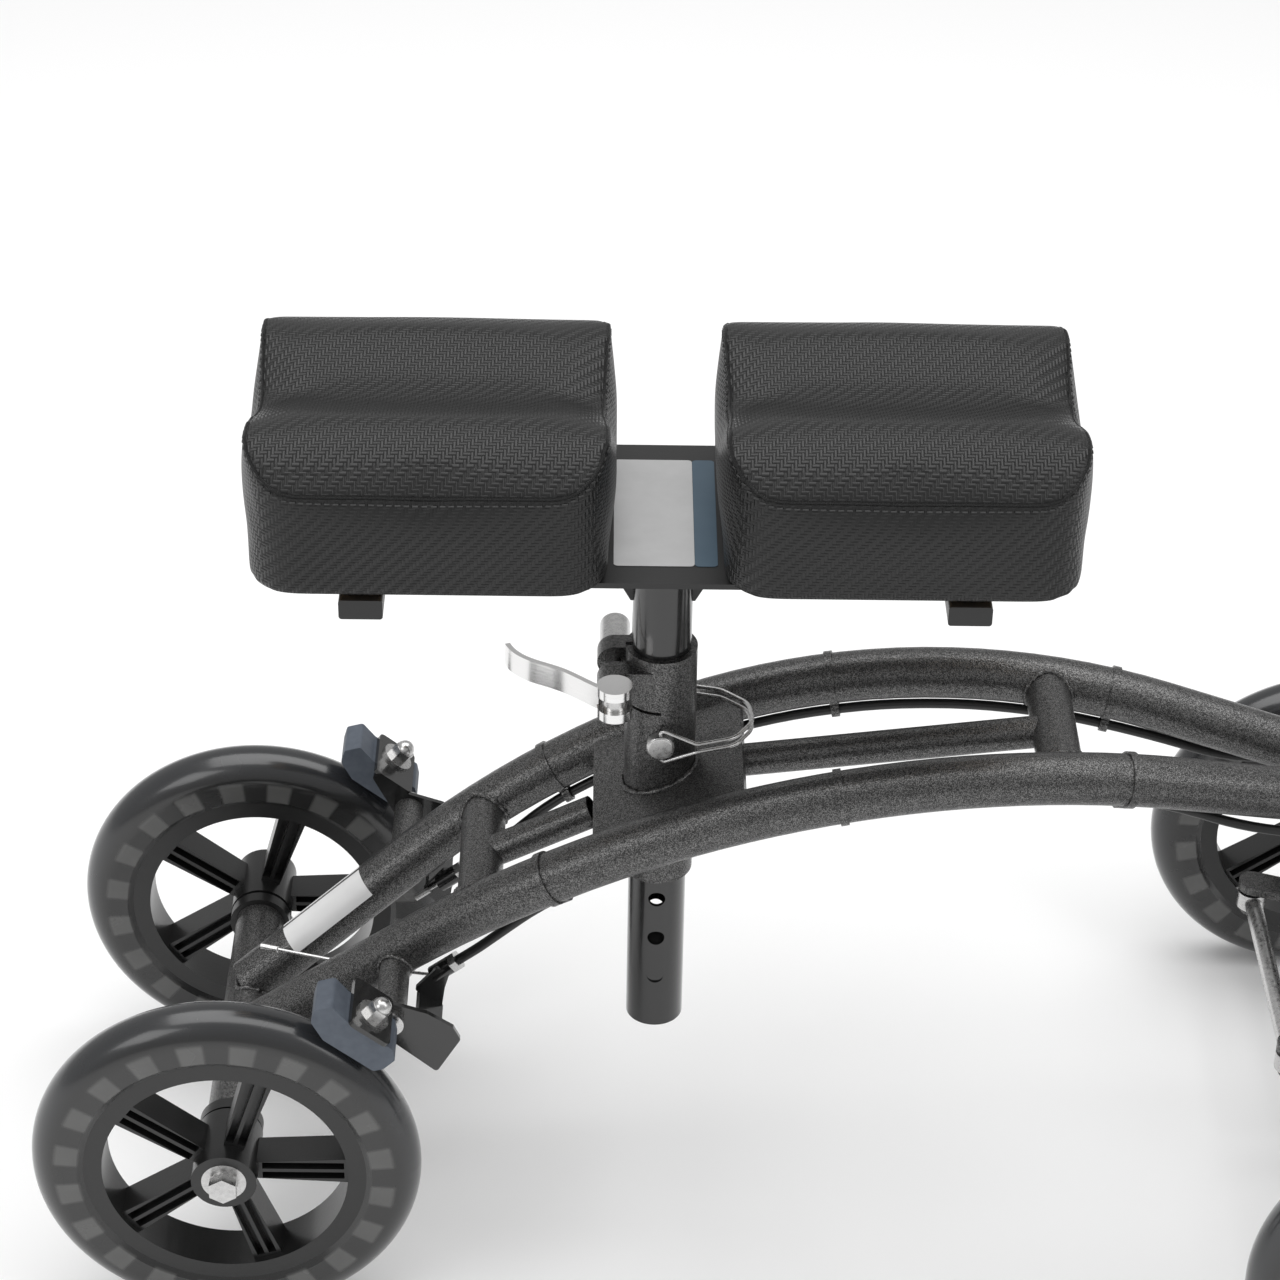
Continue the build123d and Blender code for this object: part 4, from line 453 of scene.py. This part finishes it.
# %% [markdown]
# ## The knee pads
# Each pad is foam under a sewn cover: a saddle-shaped top panel joined to a boxing strip by a
# seam that runs round the top edge. The CAD pad has the right size but hard edges. A copy of it
# is remeshed finely and blown up as cloth with its bottom held, which rounds and crowns it the
# way stuffing does. How far a point may move is capped, so that the pad keeps its size.

# %% Pad sizes
PAD_BOTTOM = 405.3 * MM
SEAM_SIDE = 458.0 * MM
SEAM_CREST = 476.0 * MM
SEAM_VALLEY = 465.0 * MM
PAD_CAP = 3.5 * MM
VOXEL = 4.0 * MM


# %% Round a pad's upright corners
PAD_CORNER = 24 * MM


def round_corners(piece, low, high):
    """Pull points that lie outside a rounded rectangle, seen from above, in to its outline."""
    middle = (low + high) / 2
    half_x = (high.x - low.x) / 2 - 1.2 * MM
    half_y = (high.y - low.y) / 2 - 1.2 * MM
    for point in piece.data.vertices:
        out_x = point.co.x - middle.x
        out_y = point.co.y - middle.y
        over_x = abs(out_x) - (half_x - PAD_CORNER)
        over_y = abs(out_y) - (half_y - PAD_CORNER)
        if over_x > 0 and over_y > 0:
            reach = math.hypot(over_x, over_y)
            share = min(1.0, PAD_CORNER / reach)
            point.co.x = middle.x + math.copysign(half_x - PAD_CORNER + over_x * share, out_x)
            point.co.y = middle.y + math.copysign(half_y - PAD_CORNER + over_y * share, out_y)


print("corners are rounded to", PAD_CORNER)


# %% Blow up a pad as cloth
def cushion(node_name, name):
    piece = copy_of(node_name, name)
    low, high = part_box(node_name)
    middle = (low + high) / 2
    for point in piece.data.vertices:
        out = point.co - middle
        point.co = Vector((middle.x + out.x * 0.985, middle.y + out.y * 0.985, point.co.z))
        if point.co.z > PAD_BOTTOM + 0.03:
            point.co.z -= 1.5 * MM
    piece.data.remesh_voxel_size = VOXEL
    take(piece)
    bpy.ops.object.voxel_remesh()
    round_corners(piece, low, high)
    start = [point.co.copy() for point in piece.data.vertices]
    held = piece.vertex_groups.new(name="held")
    for point in piece.data.vertices:
        firm = 1.0 if point.co.z < PAD_BOTTOM + 16 * MM else 0.0
        held.add([point.index], firm, "REPLACE")
    cloth = piece.modifiers.new("cloth", "CLOTH")
    cloth.settings.quality = 4
    cloth.settings.use_pressure = True
    cloth.settings.uniform_pressure_force = 4.0
    cloth.settings.effector_weights.gravity = 0.0
    cloth.settings.vertex_group_mass = "held"
    cloth.settings.tension_stiffness = 12
    cloth.collision_settings.use_collision = False
    for step in range(1, 13):
        bpy.context.scene.frame_set(step)
    apply_all(piece)
    bpy.context.scene.frame_set(1)
    for point, before in zip(piece.data.vertices, start):
        moved = point.co - before
        if moved.length > PAD_CAP:
            point.co = before + moved.normalized() * PAD_CAP
    smooth = piece.modifiers.new("smooth", "SMOOTH")
    smooth.factor = 0.5
    smooth.iterations = 6
    finer = piece.modifiers.new("finer", "SUBSURF")
    finer.levels = finer.render_levels = 1
    apply_all(piece)
    for point in piece.data.vertices:
        point.co.z = max(point.co.z, PAD_BOTTOM)
    bpy.ops.object.mode_set(mode="EDIT")
    bpy.ops.mesh.select_all(action="SELECT")
    bpy.ops.uv.cube_project(cube_size=1.0, correct_aspect=False)
    bpy.ops.object.mode_set(mode="OBJECT")
    bpy.ops.object.shade_smooth()
    return piece


pads = {}
for pad_node in ("rear_pad", "front_pad"):
    pads[pad_node] = cushion(pad_node, pad_node + "_cover")
    print(pad_node, "has", len(pads[pad_node].data.polygons), "faces")

# %% [markdown]
# ## Seams and stitches
# The seam is where two panels meet: a narrow sunken line with a row of stitches beside it. The
# line's route is a rounded rectangle seen from above whose height follows the saddle, and each
# point of it is then moved onto the cover.


# %% The seam's route
def seam_height(across_y, half_width):
    """The top edge's height over the saddle, at a distance from the pad's middle."""
    share = min(abs(across_y) / half_width, 1.0)
    crest = 0.61
    if share < crest:
        blend_in = 0.5 - 0.5 * math.cos(math.pi * share / crest)
        return SEAM_VALLEY + (SEAM_CREST - SEAM_VALLEY) * blend_in
    blend_out = (share - crest) / (1 - crest)
    return SEAM_CREST + (SEAM_SIDE - SEAM_CREST) * blend_out * blend_out


def seam_route(low, high, steps):
    """Points round the pad's top edge, evenly spaced along a rounded rectangle."""
    corner = PAD_CORNER
    half_x = (high.x - low.x) / 2
    half_y = (high.y - low.y) / 2
    middle = (low + high) / 2
    straight_x = 2 * (half_x - corner)
    straight_y = 2 * (half_y - corner)
    bend = math.pi / 2 * corner
    total = 2 * straight_x + 2 * straight_y + 4 * bend
    route = []
    for step in range(steps):
        run = total * step / steps
        heading = Vector((1, 0))
        at = Vector((-half_x + corner, -half_y))
        for length, turning in ((straight_x, 0), (bend, 1), (straight_y, 0), (bend, 1)) * 2:
            part = min(run, length)
            if turning:
                angle = part / corner
                side = Vector((-heading.y, heading.x))
                at = at + heading * math.sin(angle) * corner + side * (1 - math.cos(angle)) * corner
                heading = heading * math.cos(angle) + side * math.sin(angle)
            else:
                at = at + heading * part
            run -= part
            if run <= 0:
                break
        outward = Vector((heading.y, -heading.x, 0))
        height = seam_height(at.y, half_y)
        place = Vector((middle.x + at.x, middle.y + at.y, height))
        route.append((place, outward, Vector((heading.x, heading.y, 0))))
    return route


pad_low, pad_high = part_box("front_pad")
print("seam runs", len(seam_route(pad_low, pad_high, 200)), "steps")


# %% A tube along a closed or open run of points
def tube(points, radius, closed, swell=None):
    curve = bpy.data.curves.new("run", "CURVE")
    curve.dimensions = "3D"
    curve.bevel_depth = radius
    curve.bevel_resolution = 2
    spline = curve.splines.new("POLY")
    spline.points.add(len(points) - 1)
    for index, (point, place) in enumerate(zip(spline.points, points)):
        point.co = (*place, 1.0)
        point.radius = swell[index] if swell else 1.0
    spline.use_cyclic_u = closed
    piece = bpy.data.objects.new("run", curve)
    bpy.context.collection.objects.link(piece)
    take(piece)
    bpy.ops.object.convert(target="MESH")
    bpy.ops.object.shade_smooth()
    return bpy.context.object


# %% Stitch a seam
STITCH_PITCH = 3.6 * MM
STITCH_LENGTH = 2.5 * MM
THREAD_RADIUS = 0.45 * MM
SEAM_LENGTH = 560 * MM
WELT_RADIUS = 1.1 * MM


def stitch_row(surface, places):
    """Short capsules laid on the cover, one for each place and heading."""
    stitches = []
    for place, heading in places:
        nearest, normal, _, _ = surface.find_nearest(place)
        bpy.ops.object.select_all(action="DESELECT")
        bpy.ops.mesh.primitive_cylinder_add(
            vertices=6, radius=THREAD_RADIUS, depth=STITCH_LENGTH, location=nearest + normal * 0.1 * MM
        )
        stitch = bpy.context.object
        stitch.rotation_mode = "QUATERNION"
        stitch.rotation_quaternion = heading.to_track_quat("Z", "Y")
        stitches.append(stitch)
    return joined(stitches)


for pad_node, cover in pads.items():
    surface = surface_of(cover)
    low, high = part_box(pad_node)
    groove = []
    for place, outward, heading in seam_route(low, high, 220):
        nearest, normal, _, _ = surface.find_nearest(place + outward * 2 * MM + Vector((0, 0, 2 * MM)))
        groove.append(nearest - normal * 0.35 * MM)
    welt = tube(groove, WELT_RADIUS, True)
    settle(welt, pad_node + "_welt", vinyl, "seat")
    places = []
    for place, outward, heading in seam_route(low, high, int(SEAM_LENGTH / STITCH_PITCH)):
        places.append((place + outward * 2 * MM - Vector((0, 0, 2.2 * MM)), heading))
    row_of_stitches = stitch_row(surface, places)
    settle(row_of_stitches, pad_node + "_stitches", thread, "seat")
    settle(cover, pad_node + "_cover", vinyl, None)
    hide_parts(pad_node)
    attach(cover, "seat")
    print(pad_node, "is sewn with", len(places), "stitches")

# %% [markdown]
# ## Cables across the joints
# Three runs of cable cross a joint. Each CAD sleeve is swapped for a smooth-shaded copy in the
# cable finish, which stays where it is and rides on no body.

# %% Cable sleeves
CABLE_RUNS = (
    ("frame_cables", "frame", "steering", (205 * MM, 0, 0), (318 * MM, 0, 0)),
    ("fold_cables", "steering", "mast_body", (FRONT_AXLE_X, 0, 325 * MM), (FRONT_AXLE_X, 0, 395 * MM)),
    ("bar_cables", "mast_body", "bar", (FRONT_AXLE_X, 0, 440 * MM), (FRONT_AXLE_X, 0, 860 * MM)),
)
for cable_node, before, after, start, end in CABLE_RUNS:
    sleeve = copy_of(cable_node, cable_node + "_sleeve")
    bpy.ops.object.shade_smooth_by_angle(angle=math.radians(40))
    settle(sleeve, cable_node + "_sleeve", cable_black, None)
    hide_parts(cable_node)
    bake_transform(sleeve)
    print(cable_node, "bends between", before, "and", after)

# %% [markdown]
# ## Labels
# The seat plate's label lies flat in the gap between the pads. The white one wraps the far rail,
# so a fine grid is laid over the rail and shrunk onto it.


# %% Seat plate labels
def flat_label(name, low_x, high_x, half_y, finish):
    let_go()
    bpy.ops.mesh.primitive_plane_add(size=1.0, location=((low_x + high_x) / 2, 0, 405.1 * MM))
    label = bpy.context.object
    label.scale = (high_x - low_x, 2 * half_y, 1.0)
    bpy.ops.object.transform_apply(location=False, rotation=False, scale=True)
    bpy.ops.object.mode_set(mode="EDIT")
    bpy.ops.mesh.select_all(action="SELECT")
    bpy.ops.mesh.bevel(offset=2 * MM, segments=4, affect="VERTICES")
    bpy.ops.mesh.extrude_region_move(TRANSFORM_OT_translate={"value": (0, 0, 0.2 * MM)})
    bpy.ops.mesh.select_all(action="SELECT")
    bpy.ops.mesh.normals_make_consistent(inside=False)
    bpy.ops.object.mode_set(mode="OBJECT")
    return settle(label, name, finish, "seat")


flat_label("plate_label", -106.5 * MM, -69.5 * MM, 47 * MM, silver_film)
flat_label("plate_label_band", -69.4 * MM, -58.9 * MM, 47 * MM, blue_film)
print("plate labels laid")

# %% Rail label
rail_surface = surface_of(frame["nodes"]["left_rail"])


def rail_label(name, centre, along_rail, out, length, width, finish):
    let_go()
    bpy.ops.mesh.primitive_grid_add(x_subdivisions=28, y_subdivisions=12, size=1.0)
    label = bpy.context.object
    side = along_rail.cross(out).normalized()
    for point in label.data.vertices:
        flat = centre + along_rail * point.co.x * length + side * point.co.y * width + out * 20 * MM
        hit, normal, _, _ = rail_surface.ray_cast(flat, -out)
        if not hit:
            hit, normal, _, _ = rail_surface.find_nearest(flat - out * 20 * MM)
        point.co = hit + normal * 0.12 * MM
    solid = label.modifiers.new("film", "SOLIDIFY")
    solid.thickness = 0.15 * MM
    solid.offset = 1.0
    apply_all(label)
    bpy.ops.object.shade_smooth_by_angle(angle=math.radians(40))
    return settle(label, name, finish, "frame")


rail_middle = Vector((-250.0, 30.0, 145.3)) * MM
rail_heading = Vector((0.7577, 0.1379, 0.6378)).normalized()
facing = Vector((-0.1106, -1.3916, 1.2668)) - rail_middle
facing = (facing - rail_heading * facing.dot(rail_heading)).normalized()
rail_label("rail_label", rail_middle, rail_heading, facing, 52 * MM, 17 * MM, white_film)
print("rail label wrapped")

# %% [markdown]
# ## Weld beads
# A weld bead runs round the joint where a tube meets another. Its route is found by shooting
# rays, from a ring round one tube, along that tube, to the surface it meets. The bead's width
# swells and shrinks the way a row of overlapping puddles does.


# %% Weld beads
def bead(points, width, closed=True):
    """A tube whose radius swells and shrinks along its run."""
    swell = []
    for step in range(len(points)):
        swell.append(0.85 + 0.25 * math.sin(step * 1.9) + 0.12 * math.sin(step * 0.7))
    return tube(points, width, closed, swell)


def ring_on(surface, centre, first, second, radius, toward, steps=64):
    """Points where rays from a circle, all along one direction, meet the surface."""
    points = []
    for step in range(steps):
        turn = 2 * math.pi * step / steps
        start = centre + first * radius * math.cos(turn) + second * radius * math.sin(turn)
        hit, _, _, _ = surface.ray_cast(start, toward)
        if hit:
            points.append(hit)
    return points


UP = Vector((0, 0, 1))
AHEAD = Vector((1, 0, 0))
LEFT = Vector((0, 1, 0))
beads = []
for side, rail_node in ((1, "left_rail"), (-1, "right_rail")):
    surface = surface_of(frame["nodes"][rail_node])
    toward = Vector((0, side, 0))
    for x, z in ((109.1, 283.0), (-170.2, 202.5)):
        ring = ring_on(surface, Vector((x, 0, z)) * MM, AHEAD, UP, 11.3 * MM, toward)
        if len(ring) > 40:
            beads.append(bead(ring, 1.7 * MM))
    boss_end = Vector((-211.7, side * 70, 168.3)) * MM
    ring = ring_on(surface, boss_end, AHEAD, UP, 7.8 * MM, -toward)
    if len(ring) > 40:
        beads.append(bead(ring, 1.3 * MM))
    heading = Vector((0.7577, 0.1379 * side, 0.6378)).normalized()
    first = heading.cross(UP).normalized()
    second = heading.cross(first)
    rail_at = Vector((-250.09, 28.72 * side, 137.76)) * MM
    axle_surface = surface_of(frame["nodes"]["rear_axle_tube"])
    ring = ring_on(axle_surface, rail_at, first, second, 12.9 * MM, -heading)
    if len(ring) > 12:
        beads.append(bead(ring, 1.6 * MM, closed=False))
bracket_surface = surface_of(frame["nodes"]["seat_bracket"])
over_sleeve = Vector((POST_X, 0, 329 * MM))
sleeve_ring = ring_on(bracket_surface, over_sleeve, AHEAD, LEFT, 18.3 * MM, -UP)
if len(sleeve_ring) > 40:
    beads.append(bead(sleeve_ring, 1.6 * MM))
welds = joined(beads)
settle(welds, "weld_beads", hammered, "frame")
print("made", len(beads), "weld beads")

# %% [markdown]
# ## The camera, the light and the floor
# The scooter stands on a plain pale floor. One very large soft light hangs over it, which draws
# a highlight along the top of each tube, and two smaller ones fill from either side.

# %% Camera
lens_data = bpy.data.cameras.new("camera")
lens_data.lens = 98.55
lens_data.sensor_width = 36.0
lens_data.clip_end = 50.0
lens_data.shift_x = -0.0023
lens_data.shift_y = -0.0023
camera = bpy.data.objects.new("camera", lens_data)
bpy.context.collection.objects.link(camera)
camera.location = (-0.1106, -1.3916, 1.2668)
camera.rotation_euler = [math.radians(angle) for angle in (56.1855, -0.8807, -0.1801)]
bpy.context.scene.camera = camera
print("camera at", tuple(camera.location))


# %% Lights and floor
def soft_light(name, place, size, power, aim):
    lamp = bpy.data.lights.new(name, "AREA")
    lamp.shape = "RECTANGLE"
    lamp.size, lamp.size_y = size
    lamp.energy = power
    holder = bpy.data.objects.new(name, lamp)
    bpy.context.collection.objects.link(holder)
    holder.location = place
    holder.rotation_euler = (Vector(aim) - Vector(place)).to_track_quat("-Z", "Y").to_euler()
    return holder


soft_light("top_softbox", (-0.1, 0.25, 2.6), (3.2, 2.4), 62.0, (-0.1, 0.05, 0.2))
soft_light("left_softbox", (-1.9, -1.5, 1.7), (1.2, 1.2), 11.0, (-0.1, 0, 0.35))
soft_light("right_softbox", (1.9, -1.0, 1.9), (1.2, 1.2), 9.0, (-0.05, 0, 0.35))
world = bpy.data.worlds.new("studio")
bpy.context.scene.world = world
world.use_nodes = True
world.node_tree.nodes["Background"].inputs[0].default_value = (1, 1, 1, 1)
world.node_tree.nodes["Background"].inputs[1].default_value = 0.5
let_go()
bpy.ops.mesh.primitive_plane_add(size=12.0, location=(0, 0, 0))
floor = bpy.context.object
floor.name = "floor"
pale = Finish("pale_floor", Base_Color=(0.93, 0.93, 0.93, 1), Roughness=0.9)
floor.data.materials.append(pale.material)
bpy.context.scene.view_settings.view_transform = "Standard"
print("studio lit")
